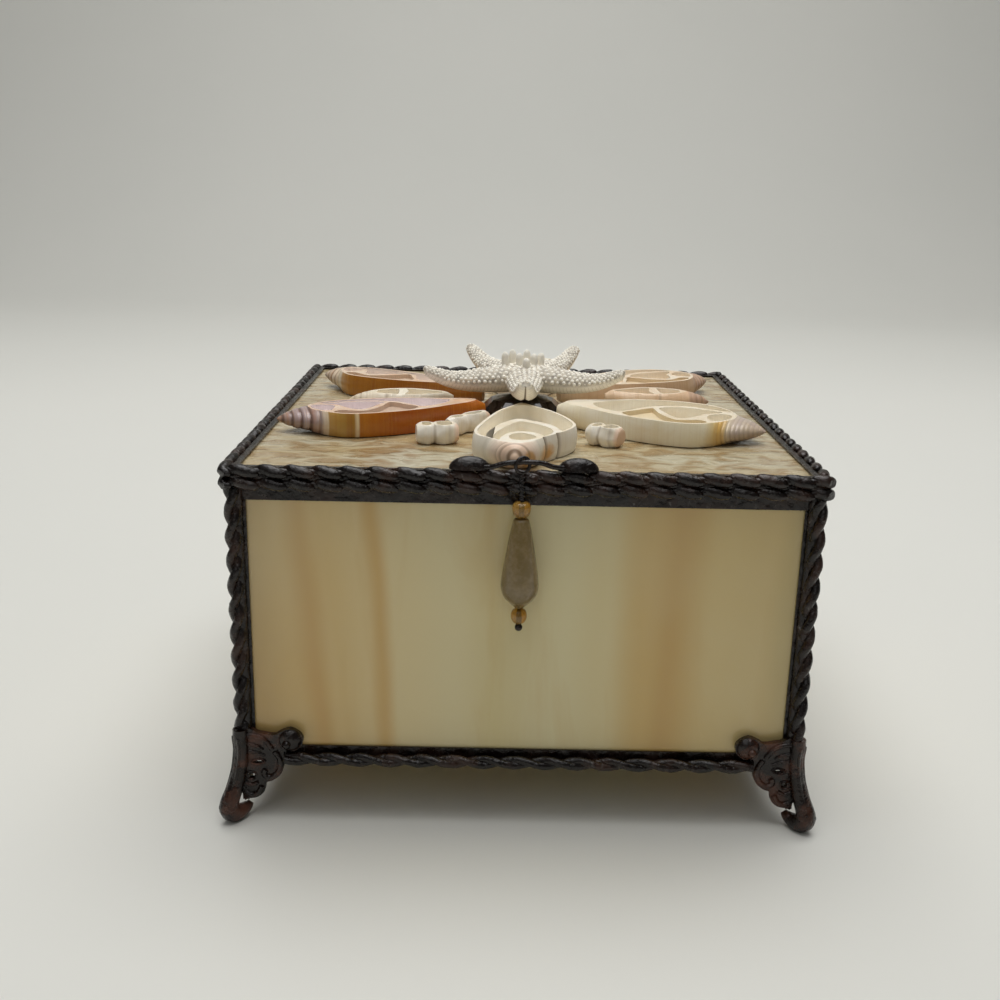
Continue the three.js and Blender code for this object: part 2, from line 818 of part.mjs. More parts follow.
// The pull: a wire bail between two drops of solder, with beads hanging from it on an eye pin
const trimFront = -lidHalfDepth - lidWireOut - lidWireAcross / 2;
const bailReach = stemRadius + stemGap; // bail in front of the trim
const hangY = trimFront - bailReach;
const bailZ = trimTop + bailRise - bailWire / 2;
const ringZ = bailZ - ringRadius + ringWire / 2 + bailWire / 2 + boreGap;
const stemTop = ringZ - ringRadius;
const stemBottom = stemTop - stemLength;

function bailGeometry() {
  const wireZ = trimTop + 1.6;
  const path = new THREE.CatmullRomCurve3([
    new THREE.Vector3(-13.5, trimFront + 1.5, wireZ - 0.4),
    new THREE.Vector3(-7.5, trimFront - bailReach * 0.5, wireZ + 0.9),
    new THREE.Vector3(pullAside, hangY, bailZ),
    new THREE.Vector3(4.5, trimFront - bailReach * 0.8, bailZ - 0.1),
    new THREE.Vector3(8.5, trimFront - bailReach * 0.4, wireZ + 0.7),
    new THREE.Vector3(12.5, trimFront + 1.5, wireZ - 0.4),
  ]);
  const section = new THREE.Shape(arc(0, 0, bailWire / 2, bailWire / 2, 0, 1.5 * Math.PI, 3));
  let body = solid(new THREE.ExtrudeGeometry(section, { steps: 8, extrudePath: path }));
  const level = block(-40, 40, trimFront - 20, trimFront + 20, trimTop - 20, trimTop + fitGap);
  for (const x of [-14.8, 13.2]) {
    const blob = new THREE.SphereGeometry(1, 8, 5);
    blob.scale(blobLength / 2, 2.7, blobHeight);
    blob.translate(x, trimFront + 1.8, trimTop + fitGap);
    body = body.add(solid(blob));
  }
  return geometryOf(body.subtract(solid(level)));
}

function lathe(profile, sides) {
  const turned = new THREE.LatheGeometry(profile.map(([r, z]) => new THREE.Vector2(r, z)), sides);
  turned.rotateX(Math.PI / 2);
  return turned;
}

// A bead turned round the pin, its outline given from its top downwards
function beadGeometry(outline, sides) {
  const bore = pinRadius + boreGap;
  const length = outline[outline.length - 1][1];
  const profile = [[bore, -length], [bore, 0], ...outline.map(([r, down]) => [r, -down])];
  profile.push([bore, -length]);
  return lathe(profile.reverse(), sides);
}

function buildPull() {
  const group = new THREE.Group();
  group.add(piece("pull_bail", bailGeometry(), "solder"));

  const topBeadTop = stemBottom - boreGap;
  const dropTop = topBeadTop - topBeadLength - boreGap;
  const lowBeadTop = dropTop - dropLength - boreGap;
  const ballTop = lowBeadTop - lowBeadLength - boreGap;
  const hang = new THREE.Group();
  hang.position.set(pullAside, hangY, 0);

  const ring = new THREE.TorusGeometry(ringRadius, ringWire / 2, 4, 8);
  ring.rotateX(Math.PI / 2);
  ring.rotateZ(Math.PI / 4);
  ring.translate(0, 0, ringZ);
  const stem = lathe(
    [[0, stemBottom], [stemRadius, stemBottom], [stemRadius, stemTop], [0, stemTop + 0.1]],
    6,
  );
  const shank = lathe(
    [[0, ballTop - 0.3], [pinRadius, ballTop - 0.3], [pinRadius, stemBottom + 0.5], [0, stemBottom + 0.5]],
    6,
  );
  const ball = new THREE.SphereGeometry(pinBallRadius, 6, 4);
  ball.translate(0, 0, ballTop - pinBallRadius);
  const pin = [stem, shank, ball].reduce((body, part) => body.add(solid(part)), solid(ring));
  hang.add(piece("pull_pin", geometryOf(pin), "solder"));

  const beads = {
    pull_top_bead: {
      top: topBeadTop,
      sides: 6,
      finish: "amberBead",
      outline: [[0.62, 0], [0.97, 0.2], [0.97, 0.65], [0.6, 1]].map(([r, d]) => [
        r * topBeadRadius,
        d * topBeadLength,
      ]),
    },
    pull_drop: {
      top: dropTop,
      sides: 10,
      finish: "smokyBead",
      outline: [
        [0.34, 0], [0.56, 0.12], [0.75, 0.3], [0.9, 0.52], [1, 0.74], [0.92, 0.86], [0.66, 0.95], [0.3, 1],
      ].map(([r, d]) => [r * dropRadius, d * dropLength]),
    },
    pull_low_bead: {
      top: lowBeadTop,
      sides: 6,
      finish: "amberBead",
      outline: [[0.62, 0], [0.98, 0.3], [0.95, 0.7], [0.6, 1]].map(([r, d]) => [
        r * lowBeadRadius,
        d * lowBeadLength,
      ]),
    },
  };
  for (const [name, { top, sides, finish, outline }] of Object.entries(beads)) {
    const bead = piece(name, beadGeometry(outline, sides), finish);
    bead.position.z = top;
    hang.add(bead);
  }
  group.add(hang);
  return group;
}

const jewelryBox = new THREE.Group();
jewelryBox.add(buildGlass());
jewelryBox.add(buildSeams());
jewelryBox.add(buildCorners());
jewelryBox.add(buildBottomWires());
jewelryBox.add(buildLid());
jewelryBox.add(buildSlices());
jewelryBox.add(buildHub());
jewelryBox.add(buildStarfish());
jewelryBox.add(buildPull());

export default jewelryBox;
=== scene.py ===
import math
import random
import bmesh
import bpy
from mathutils import Matrix, Vector, noise as field


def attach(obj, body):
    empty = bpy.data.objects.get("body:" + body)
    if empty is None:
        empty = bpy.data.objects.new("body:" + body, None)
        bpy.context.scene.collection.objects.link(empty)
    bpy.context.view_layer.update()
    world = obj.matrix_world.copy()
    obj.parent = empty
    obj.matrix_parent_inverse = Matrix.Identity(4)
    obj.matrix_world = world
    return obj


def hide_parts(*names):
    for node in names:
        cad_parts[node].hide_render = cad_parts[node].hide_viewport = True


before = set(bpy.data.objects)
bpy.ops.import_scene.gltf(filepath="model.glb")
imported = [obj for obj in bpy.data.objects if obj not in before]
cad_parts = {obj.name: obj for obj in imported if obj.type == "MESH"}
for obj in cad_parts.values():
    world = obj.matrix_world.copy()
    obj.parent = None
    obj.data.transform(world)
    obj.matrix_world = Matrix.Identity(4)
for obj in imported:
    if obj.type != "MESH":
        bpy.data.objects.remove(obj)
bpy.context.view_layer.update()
mm = 0.001
print("frame loaded:", len(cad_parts), "nodes")


# Modelling helpers. Pieces are shaped in millimetres and scaled to metres when they are done.

def tone(red, green, blue):
    return tuple((c / 255) ** 2.2 for c in (red, green, blue)) + (1.0,)


def place(bm, matrix, verts=None):
    bmesh.ops.transform(bm, matrix=matrix, verts=verts or list(bm.verts))


def addPiece(name, bm, material, replaces=(), sharp=45, recalc=True):
    bmesh.ops.scale(bm, vec=(mm, mm, mm), verts=list(bm.verts))
    if recalc:
        bmesh.ops.recalc_face_normals(bm, faces=list(bm.faces))
    mesh = bpy.data.meshes.new(name)
    bm.to_mesh(mesh)
    bm.free()
    mesh.shade_smooth()
    mesh.set_sharp_from_angle(angle=math.radians(sharp))
    piece = bpy.data.objects.new(name, mesh)
    bpy.context.scene.collection.objects.link(piece)
    mesh.materials.append(material)
    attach(piece, "root")
    if replaces:
        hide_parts(*replaces)
    return piece


def joinInto(bm, other):
    mesh = bpy.data.meshes.new("joined")
    other.to_mesh(mesh)
    other.free()
    bm.from_mesh(mesh)
    bpy.data.meshes.remove(mesh)


def roundEdges(piece, width, angle):
    # width in millimetres, angle in degrees
    rounding = piece.modifiers.new("rounding", "BEVEL")
    rounding.width = width * mm
    rounding.segments = 2
    rounding.limit_method = "ANGLE"
    rounding.angle_limit = math.radians(angle)


def openEdges(geom):
    return [g for g in geom if isinstance(g, bmesh.types.BMEdge)]


def curveThrough(points, perSpan, closed=False):
    # even Catmull-Rom steps between the points
    pts = [Vector(p) for p in points]
    count = len(pts)
    out = []
    for i in range(count if closed else count - 1):
        if closed:
            a, b, c, d = (pts[(i + k) % count] for k in (-1, 0, 1, 2))
        else:
            b, c = pts[i], pts[i + 1]
            a = pts[i - 1] if i else b + (b - c)
            d = pts[i + 2] if i + 2 < count else c + (c - b)
        for k in range(perSpan):
            t = k / perSpan
            out.append(0.5 * ((2 * b) + (c - a) * t + (2 * a - 5 * b + 4 * c - d) * t * t
                              + (3 * b - a - 3 * c + d) * t ** 3))
    if not closed:
        out.append(pts[-1])
    return out


def rodAlong(bm, path, sizes, sides=10, upright=(0, 0, 1), closed=False):
    # a round bar pulled through the points; sizes are (across, upright) half widths
    path = [Vector(p) for p in path]
    up = Vector(upright)
    count = len(path)
    stations = []
    for i, point in enumerate(path):
        before = path[i - 1] if i or closed else point
        after = path[(i + 1) % count] if i + 1 < count or closed else point
        along = (after - before).normalized()
        side = up.cross(along)
        side = side.normalized() if side.length > 1e-4 else Vector((1, 0, 0))
        top = along.cross(side)
        across, tall = sizes[i] if isinstance(sizes, list) else sizes
        turn = Matrix((side * across, top * tall, along)).transposed().to_4x4()
        stations.append(Matrix.Translation(point) @ turn)
    made = bmesh.ops.create_circle(bm, cap_ends=not closed, segments=sides, radius=1.0, matrix=stations[0])
    ring = made["verts"]
    every = list(ring)
    edges = [e for e in bm.edges if e.verts[0] in ring and e.verts[1] in ring]
    firstEdges = list(edges)
    for i in range(1, count):
        pulled = bmesh.ops.extrude_edge_only(bm, edges=edges)["geom"]
        ring = [g for g in pulled if isinstance(g, bmesh.types.BMVert)]
        edges = [e for e in openEdges(pulled) if e.verts[0] in ring and e.verts[1] in ring]
        bmesh.ops.transform(bm, matrix=stations[i] @ stations[i - 1].inverted_safe(), verts=ring)
        every += ring
    if closed:
        bmesh.ops.bridge_loops(bm, edges=edges + firstEdges)
    else:
        bmesh.ops.contextual_create(bm, geom=edges)
    return every


def turnedBody(bm, profile, sides):
    # a profile of (place along, radius) spun round the X axis
    verts = [bm.verts.new((s, r, 0)) for s, r in profile]
    edges = [bm.edges.new(pair) for pair in zip(verts, verts[1:])]
    bmesh.ops.spin(bm, geom=verts + edges, cent=(0, 0, 0), axis=(1, 0, 0), dvec=(0, 0, 0),
                   angle=2 * math.pi, steps=sides, use_merge=True, use_duplicate=False)
    bmesh.ops.remove_doubles(bm, verts=list(bm.verts), dist=1e-4)


def plateFrom(bm, loops, low, high):
    # a flat plate between two heights, the first loop its edge and the others its openings
    edges = []
    for loop in loops:
        verts = [bm.verts.new((p[0], p[1], low)) for p in loop]
        edges += [bm.edges.new((verts[i], verts[(i + 1) % len(verts)])) for i in range(len(verts))]
    filled = bmesh.ops.triangle_fill(bm, use_beauty=True, use_dissolve=False, edges=edges)["geom"]
    faces = [g for g in filled if isinstance(g, bmesh.types.BMFace)]
    raised = bmesh.ops.extrude_face_region(bm, geom=faces)["geom"]
    verts = [g for g in raised if isinstance(g, bmesh.types.BMVert)]
    bmesh.ops.translate(bm, vec=(0, 0, high - low), verts=verts)


# Camera, at the photograph's viewing angle

cameraSettings = {"place": (-8.1, -362.6, 177.7), "yaw": 0.26, "pitch": 16.22, "roll": 1.21, "lens": 41.07}


def addCamera(settings):
    yaw, pitch, roll = (math.radians(settings[k]) for k in ("yaw", "pitch", "roll"))
    forward = Vector((math.sin(yaw) * math.cos(pitch), math.cos(yaw) * math.cos(pitch), -math.sin(pitch)))
    right = Vector((math.cos(yaw), -math.sin(yaw), 0))
    up = right.cross(forward)
    right, up = (math.cos(roll) * right + math.sin(roll) * up, math.cos(roll) * up - math.sin(roll) * right)
    data = bpy.data.cameras.new("camera")
    data.lens = settings["lens"]
    data.sensor_width = 36
    data.clip_start = 0.01
    camera = bpy.data.objects.new("camera", data)
    turn = Matrix((right, up, -forward)).transposed().to_4x4()
    camera.matrix_world = Matrix.Translation(Vector(settings["place"]) * mm) @ turn
    bpy.context.scene.collection.objects.link(camera)
    bpy.context.scene.camera = camera


addCamera(cameraSettings)


# Shader helpers

def newNode(tree, kind, inputs=None, **settings):
    node = tree.nodes.new(kind)
    for key, value in settings.items():
        setattr(node, key, value)
    for key, value in (inputs or {}).items():
        if isinstance(value, bpy.types.NodeSocket):
            tree.links.new(value, node.inputs[key])
        else:
            node.inputs[key].default_value = value
    return node


def ramp(tree, factor, stops, ease="LINEAR"):
    node = newNode(tree, "ShaderNodeValToRGB", {"Fac": factor})
    node.color_ramp.interpolation = ease
    elements = node.color_ramp.elements
    while len(elements) < len(stops):
        elements.new(0.5)
    for element, (position, colour) in zip(elements, stops):
        element.position = position
        element.color = colour if len(colour) == 4 else (*colour, 1)
    return node.outputs["Color"]


def grey(tree, factor, low, high, bottom=0.0, top=1.0):
    node = newNode(tree, "ShaderNodeMapRange", {
        "Value": factor, "From Min": low, "From Max": high, "To Min": bottom, "To Max": top})
    node.clamp = True
    return node.outputs["Result"]


def blend(tree, factor, first, second, mode="MIX"):
    node = newNode(tree, "ShaderNodeMix", {"Factor": factor}, data_type="RGBA", blend_type=mode)
    for index, value in ((6, first), (7, second)):
        if isinstance(value, bpy.types.NodeSocket):
            tree.links.new(value, node.inputs[index])
        else:
            node.inputs[index].default_value = value
    return node.outputs[2]


def maths(tree, operation, a, b=0.0):
    return newNode(tree, "ShaderNodeMath", {0: a, 1: b}, operation=operation).outputs["Value"]


def noise(tree, vector, scale, detail=3.0, rough=0.55, distortion=0.0):
    return newNode(tree, "ShaderNodeTexNoise", {
        "Vector": vector, "Scale": scale, "Detail": detail, "Roughness": rough, "Distortion": distortion,
    }).outputs["Fac"]


def objectPlace(tree, scale=(1, 1, 1), turn=(0, 0, 0), shift=(0, 0, 0)):
    coords = newNode(tree, "ShaderNodeTexCoord").outputs["Object"]
    return newNode(tree, "ShaderNodeMapping", {
        "Vector": coords, "Scale": scale, "Rotation": turn, "Location": shift}).outputs["Vector"]


def newGroup(name, inputs, outputs):
    tree = bpy.data.node_groups.new(name, "ShaderNodeTree")
    for socketName, kind, value in inputs:
        socket = tree.interface.new_socket(socketName, in_out="INPUT", socket_type=kind)
        if value is not None:
            socket.default_value = value
    for socketName, kind in outputs:
        tree.interface.new_socket(socketName, in_out="OUTPUT", socket_type=kind)
    return tree, tree.nodes.new("NodeGroupInput"), tree.nodes.new("NodeGroupOutput")


def useGroup(tree, group, inputs):
    node = newNode(tree, "ShaderNodeGroup", node_tree=group)
    for key, value in inputs.items():
        if isinstance(value, bpy.types.NodeSocket):
            tree.links.new(value, node.inputs[key])
        else:
            node.inputs[key].default_value = value
    return node.outputs


def newMaterial(name, values):
    material = bpy.data.materials.new(name)
    material.use_nodes = True
    tree = material.node_tree
    tree.nodes.clear()
    shader = newNode(tree, "ShaderNodeBsdfPrincipled", values)
    out = newNode(tree, "ShaderNodeOutputMaterial")
    tree.links.new(shader.outputs["BSDF"], out.inputs["Surface"])
    return material, tree, shader


def bumpInto(tree, shader, height, strength, distance):
    node = newNode(tree, "ShaderNodeBump", {"Height": height, "Strength": strength, "Distance": distance})
    tree.links.new(node.outputs["Normal"], shader.inputs["Normal"])


def makePatinaGroup():
    # dark patina rubbed back to warm metal, with pale scuffs and a lumpy skin
    tree, given, out = newGroup("patina", [
        ("Dark", "NodeSocketColor", (0.02, 0.017, 0.015, 1)),
        ("Warm", "NodeSocketColor", (0.14, 0.06, 0.035, 1)),
        ("Pale", "NodeSocketColor", (0.45, 0.44, 0.42, 1)),
        ("Warm Amount", "NodeSocketFloat", 0.5),
        ("Pale Amount", "NodeSocketFloat", 0.2),
        ("Lump Size", "NodeSocketFloat", 300.0),
    ], [("Color", "NodeSocketColor"), ("Roughness", "NodeSocketFloat"), ("Height", "NodeSocketFloat")])
    coords = newNode(tree, "ShaderNodeTexCoord").outputs["Object"]
    broad = noise(tree, coords, 130, 4, 0.6)
    lumps = noise(tree, coords, given.outputs["Lump Size"], 3, 0.5)
    scuffs = noise(tree, coords, 620, 5, 0.7)
    warmMask = maths(tree, "MULTIPLY", grey(tree, broad, 0.46, 0.68), given.outputs["Warm Amount"])
    paleMask = maths(tree, "MULTIPLY", grey(tree, scuffs, 0.6, 0.72), grey(tree, broad, 0.42, 0.6))
    paleMask = maths(tree, "MULTIPLY", paleMask, given.outputs["Pale Amount"])
    colour = blend(tree, warmMask, given.outputs["Dark"], given.outputs["Warm"])
    colour = blend(tree, paleMask, colour, given.outputs["Pale"])
    dull = maths(tree, "MULTIPLY", warmMask, 0.25)
    rough = maths(tree, "ADD", grey(tree, lumps, 0.3, 0.7, 0.1, 0.34), dull)
    height = maths(tree, "ADD", lumps, maths(tree, "MULTIPLY", scuffs, 0.25))
    tree.links.new(colour, out.inputs["Color"])
    tree.links.new(rough, out.inputs["Roughness"])
    tree.links.new(height, out.inputs["Height"])
    return tree


def makeGrowthGroup():
    # growth lines that run across a shell, from its own attribute "along"
    tree, given, out = newGroup("growthLines", [
        ("Fine", "NodeSocketFloat", 60.0),
        ("Coarse", "NodeSocketFloat", 14.0),
    ], [("Lines", "NodeSocketFloat"), ("Bands", "NodeSocketFloat")])
    along = newNode(tree, "ShaderNodeAttribute", attribute_name="along").outputs["Fac"]
    coords = objectPlace(tree, scale=(30, 30, 60))
    wander = noise(tree, coords, 1.0, 2, 0.5)
    placed = maths(tree, "ADD", along, maths(tree, "MULTIPLY", wander, 0.03))
    for socket, name in (("Fine", "Lines"), ("Coarse", "Bands")):
        spread = maths(tree, "MULTIPLY", placed, given.outputs[socket])
        joined = newNode(tree, "ShaderNodeCombineXYZ", {"X": spread}).outputs["Vector"]
        tree.links.new(noise(tree, joined, 1.0, 3, 0.6), out.inputs[name])
    return tree


patina = makePatinaGroup()
growthLines = makeGrowthGroup()


def patinaMaterial(name, dark, warm, warmAmount, paleAmount, lumpSize, bump, metal):
    material, tree, shader = newMaterial(name, {"Metallic": metal, "IOR": 1.5})
    skin = useGroup(tree, patina, {
        "Dark": dark, "Warm": warm, "Warm Amount": warmAmount, "Pale Amount": paleAmount,
        "Lump Size": lumpSize})
    tree.links.new(skin["Color"], shader.inputs["Base Color"])
    tree.links.new(skin["Roughness"], shader.inputs["Roughness"])
    bumpInto(tree, shader, skin["Height"], 0.8, bump)
    return material


solderSkin = patinaMaterial("solderSkin", tone(21, 13, 8), tone(66, 44, 32), 0.4, 0.3, 330, 0.0008, 0.1)
wireSkin = patinaMaterial("wireSkin", tone(21, 13, 8), tone(74, 50, 38), 0.5, 0.35, 380, 0.0008, 0.1)
castSkin = patinaMaterial("castSkin", tone(26, 16, 10), tone(98, 62, 46), 0.8, 0.25, 380, 0.0008, 0.1)


# Slag glass of the sides: streaks run down each pane, and lean as they go
slagSettings = {
    "front": {"turn": 0.0, "stops": [
        (0.0, (196, 164, 106)), (0.075, (208, 176, 114)), (0.115, (202, 164, 100)), (0.15, (214, 185, 125)),
        (0.21, (218, 193, 137)), (0.235, (206, 170, 106)), (0.26, (221, 202, 151)), (0.36, (221, 206, 158)),
        (0.46, (216, 199, 144)), (0.58, (221, 208, 160)), (0.66, (218, 201, 150)), (0.735, (208, 176, 111)),
        (0.78, (200, 164, 99)), (0.86, (212, 187, 128)), (0.94, (208, 183, 125)), (1.0, (196, 174, 118)),
    ]},
    "side": {"turn": 0.0, "stops": [
        (0.0, (210, 183, 125)), (0.14, (202, 164, 99)), (0.2, (220, 201, 148)), (0.34, (221, 206, 158)),
        (0.43, (204, 168, 104)), (0.5, (218, 197, 141)), (0.66, (221, 208, 162)), (0.78, (212, 187, 128)),
        (0.84, (196, 157, 88)), (0.9, (216, 191, 134)), (1.0, (206, 180, 121)),
    ]},
}


def slagMaterial(name, stops, across, lean, seed):
    material, tree, shader = newMaterial(name, {"Roughness": 0.16, "IOR": 1.5, "Coat Weight": 0.3})
    coords = newNode(tree, "ShaderNodeTexCoord").outputs["Object"]
    parts = newNode(tree, "ShaderNodeSeparateXYZ", {"Vector": coords})
    reach = parts.outputs[across]
    tall = maths(tree, "SUBTRACT", parts.outputs["Z"], 0.058)
    wander = noise(tree, objectPlace(tree, scale=(14, 14, 5), shift=(seed, seed, 0)), 1.0, 3, 0.5)
    drift = maths(tree, "MULTIPLY", maths(tree, "SUBTRACT", wander, 0.5), 0.022)
    leaning = maths(tree, "MULTIPLY", tall, maths(tree, "MULTIPLY", reach, -lean))
    placed = maths(tree, "ADD", maths(tree, "ADD", reach, drift), leaning)
    share = grey(tree, placed, -0.0746, 0.0746)
    colour = ramp(tree, share, [(p, tone(*c)) for p, c in stops], "EASE")
    wisps = noise(tree, objectPlace(tree, scale=(55, 55, 7), shift=(0, seed, seed)), 1.0, 4, 0.6, 0.6)
    colour = blend(tree, grey(tree, wisps, 0.5, 0.75, 0, 0.45), colour, tone(202, 166, 100))
    milk = noise(tree, objectPlace(tree, scale=(22, 22, 9), shift=(seed, 0, seed)), 1.0, 3, 0.5, 0.3)
    colour = blend(tree, grey(tree, milk, 0.5, 0.8, 0, 0.4), colour, tone(222, 212, 174))
    tree.links.new(colour, shader.inputs["Base Color"])
    waves = noise(tree, objectPlace(tree, scale=(40, 40, 16)), 1.0, 2, 0.4)
    bumpInto(tree, shader, waves, 0.25, 0.0006)
    return material


def lidGlassMaterial(settings):
    material, tree, shader = newMaterial("lidGlassSkin", {"IOR": 1.5, "Coat Weight": 0.1})
    ripples = noise(tree, objectPlace(tree, scale=(110, 170, 60)), 1.0, 2, 0.45, 0.7)
    fine = noise(tree, objectPlace(tree, scale=(240, 520, 200)), 1.0, 3, 0.5, 0.5)
    clouds = noise(tree, objectPlace(tree, scale=(18, 30, 20)), 1.0, 3, 0.5, 0.4)
    # painted shade: the glass is darker in the hollows of its ripples, the same field that the bump raises
    rippleShade = grey(tree, ripples, 0.38, 0.58, 1, 0)
    colour = blend(tree, grey(tree, clouds, 0.35, 0.65), tone(*settings["milk"]), tone(*settings["cream"]))
    colour = blend(tree, maths(tree, "MULTIPLY", rippleShade, 0.75), colour, tone(*settings["valleyShade"]))
    tree.links.new(colour, shader.inputs["Base Color"])
    tree.links.new(grey(tree, fine, 0.3, 0.7, 0.14, 0.3), shader.inputs["Roughness"])
    height = maths(tree, "ADD", ripples, maths(tree, "MULTIPLY", fine, 0.15))
    bumpInto(tree, shader, height, 0.75, 0.0016)
    return material


lidGlassSettings = {"milk": (192, 184, 158), "cream": (180, 160, 120), "valleyShade": (146, 116, 72)}
lidGlassSkin = lidGlassMaterial(lidGlassSettings)

frontSlag = slagMaterial("frontSlag", slagSettings["front"]["stops"], "X", 1.3, 0.0)
backSlag = slagMaterial("backSlag", slagSettings["side"]["stops"], "X", -1.0, 3.1)
leftSlag = slagMaterial("leftSlag", slagSettings["side"]["stops"], "Y", 0.8, 5.7)
rightSlag = slagMaterial("rightSlag", slagSettings["side"]["stops"], "Y", -1.2, 8.3)


def shellMaterial(name, settings):
    # "part" says what a face is: 0 outside, 1 sawn rim, 2 chamber wall, 3 chamber floor, 4 pale shelf
    material, tree, shader = newMaterial(name, {
        "Roughness": settings["rough"], "Coat Weight": settings["coat"], "Coat Roughness": 0.12})
    along = newNode(tree, "ShaderNodeAttribute", attribute_name="along").outputs["Fac"]
    crease = newNode(tree, "ShaderNodeAttribute", attribute_name="crease").outputs["Fac"]
    part = newNode(tree, "ShaderNodeAttribute", attribute_name="part").outputs["Fac"]
    growth = useGroup(tree, growthLines, {"Fine": settings["fine"], "Coarse": settings["coarse"]})
    stain = noise(tree, objectPlace(tree, scale=(60, 60, 120)), 1.0, 4, 0.6, 0.8)
    colour = ramp(tree, along, [(p, tone(*c)) for p, c in settings["wall"]])
    colour = blend(tree, grey(tree, growth["Bands"], 0.45, 0.7, 0, 0.5), colour, tone(*settings["band"]))
    colour = blend(tree, grey(tree, growth["Lines"], 0.5, 0.75, 0, 0.45), colour, tone(*settings["line"]))
    colour = blend(tree, grey(tree, stain, 0.55, 0.8, 0, 0.5), colour, tone(*settings["stain"]))
    for spot, reach, patch in settings.get("patches", []):
        off = newNode(tree, "ShaderNodeVectorMath", {
            0: newNode(tree, "ShaderNodeTexCoord").outputs["Object"], 1: [v * mm for v in spot]},
            operation="DISTANCE").outputs["Value"]
        wander = maths(tree, "MULTIPLY", maths(tree, "SUBTRACT", stain, 0.5), reach * mm)
        mask = grey(tree, maths(tree, "ADD", off, wander), reach * mm * 0.7, reach * mm, 0.85, 0)
        colour = blend(tree, mask, colour, tone(*patch))
    # painted shade: the shell darkens toward its groove colour in the notches and in the hollows between
    # the spire's ridges
    creaseShade = grey(tree, crease, 0.1, 0.9, 0, settings["grooveShadeAmount"])
    colour = blend(tree, creaseShade, colour, tone(*settings["groove"]))
    blotch = noise(tree, objectPlace(tree, scale=(160, 160, 160)), 1.0, 4, 0.6)
    rim = blend(tree, grey(tree, blotch, 0.4, 0.65), tone(*settings["rim"]), tone(*settings["rimWarm"]))
    inner = blend(tree, grey(tree, stain, 0.35, 0.65), tone(*settings["inner"]), tone(*settings["floor"]))
    colour = blend(tree, grey(tree, part, 0.4, 0.6), colour, rim)
    colour = blend(tree, grey(tree, part, 1.4, 1.6), colour, inner)
    colour = blend(tree, grey(tree, part, 2.4, 2.6), colour, tone(*settings["floor"]))
    colour = blend(tree, grey(tree, part, 3.4, 3.6), colour, tone(*settings["shelf"]))
    tree.links.new(colour, shader.inputs["Base Color"])
    height = maths(tree, "ADD", growth["Lines"], maths(tree, "MULTIPLY", blotch, 0.6))
    bumpInto(tree, shader, height, 0.5, 0.0004)
    return material
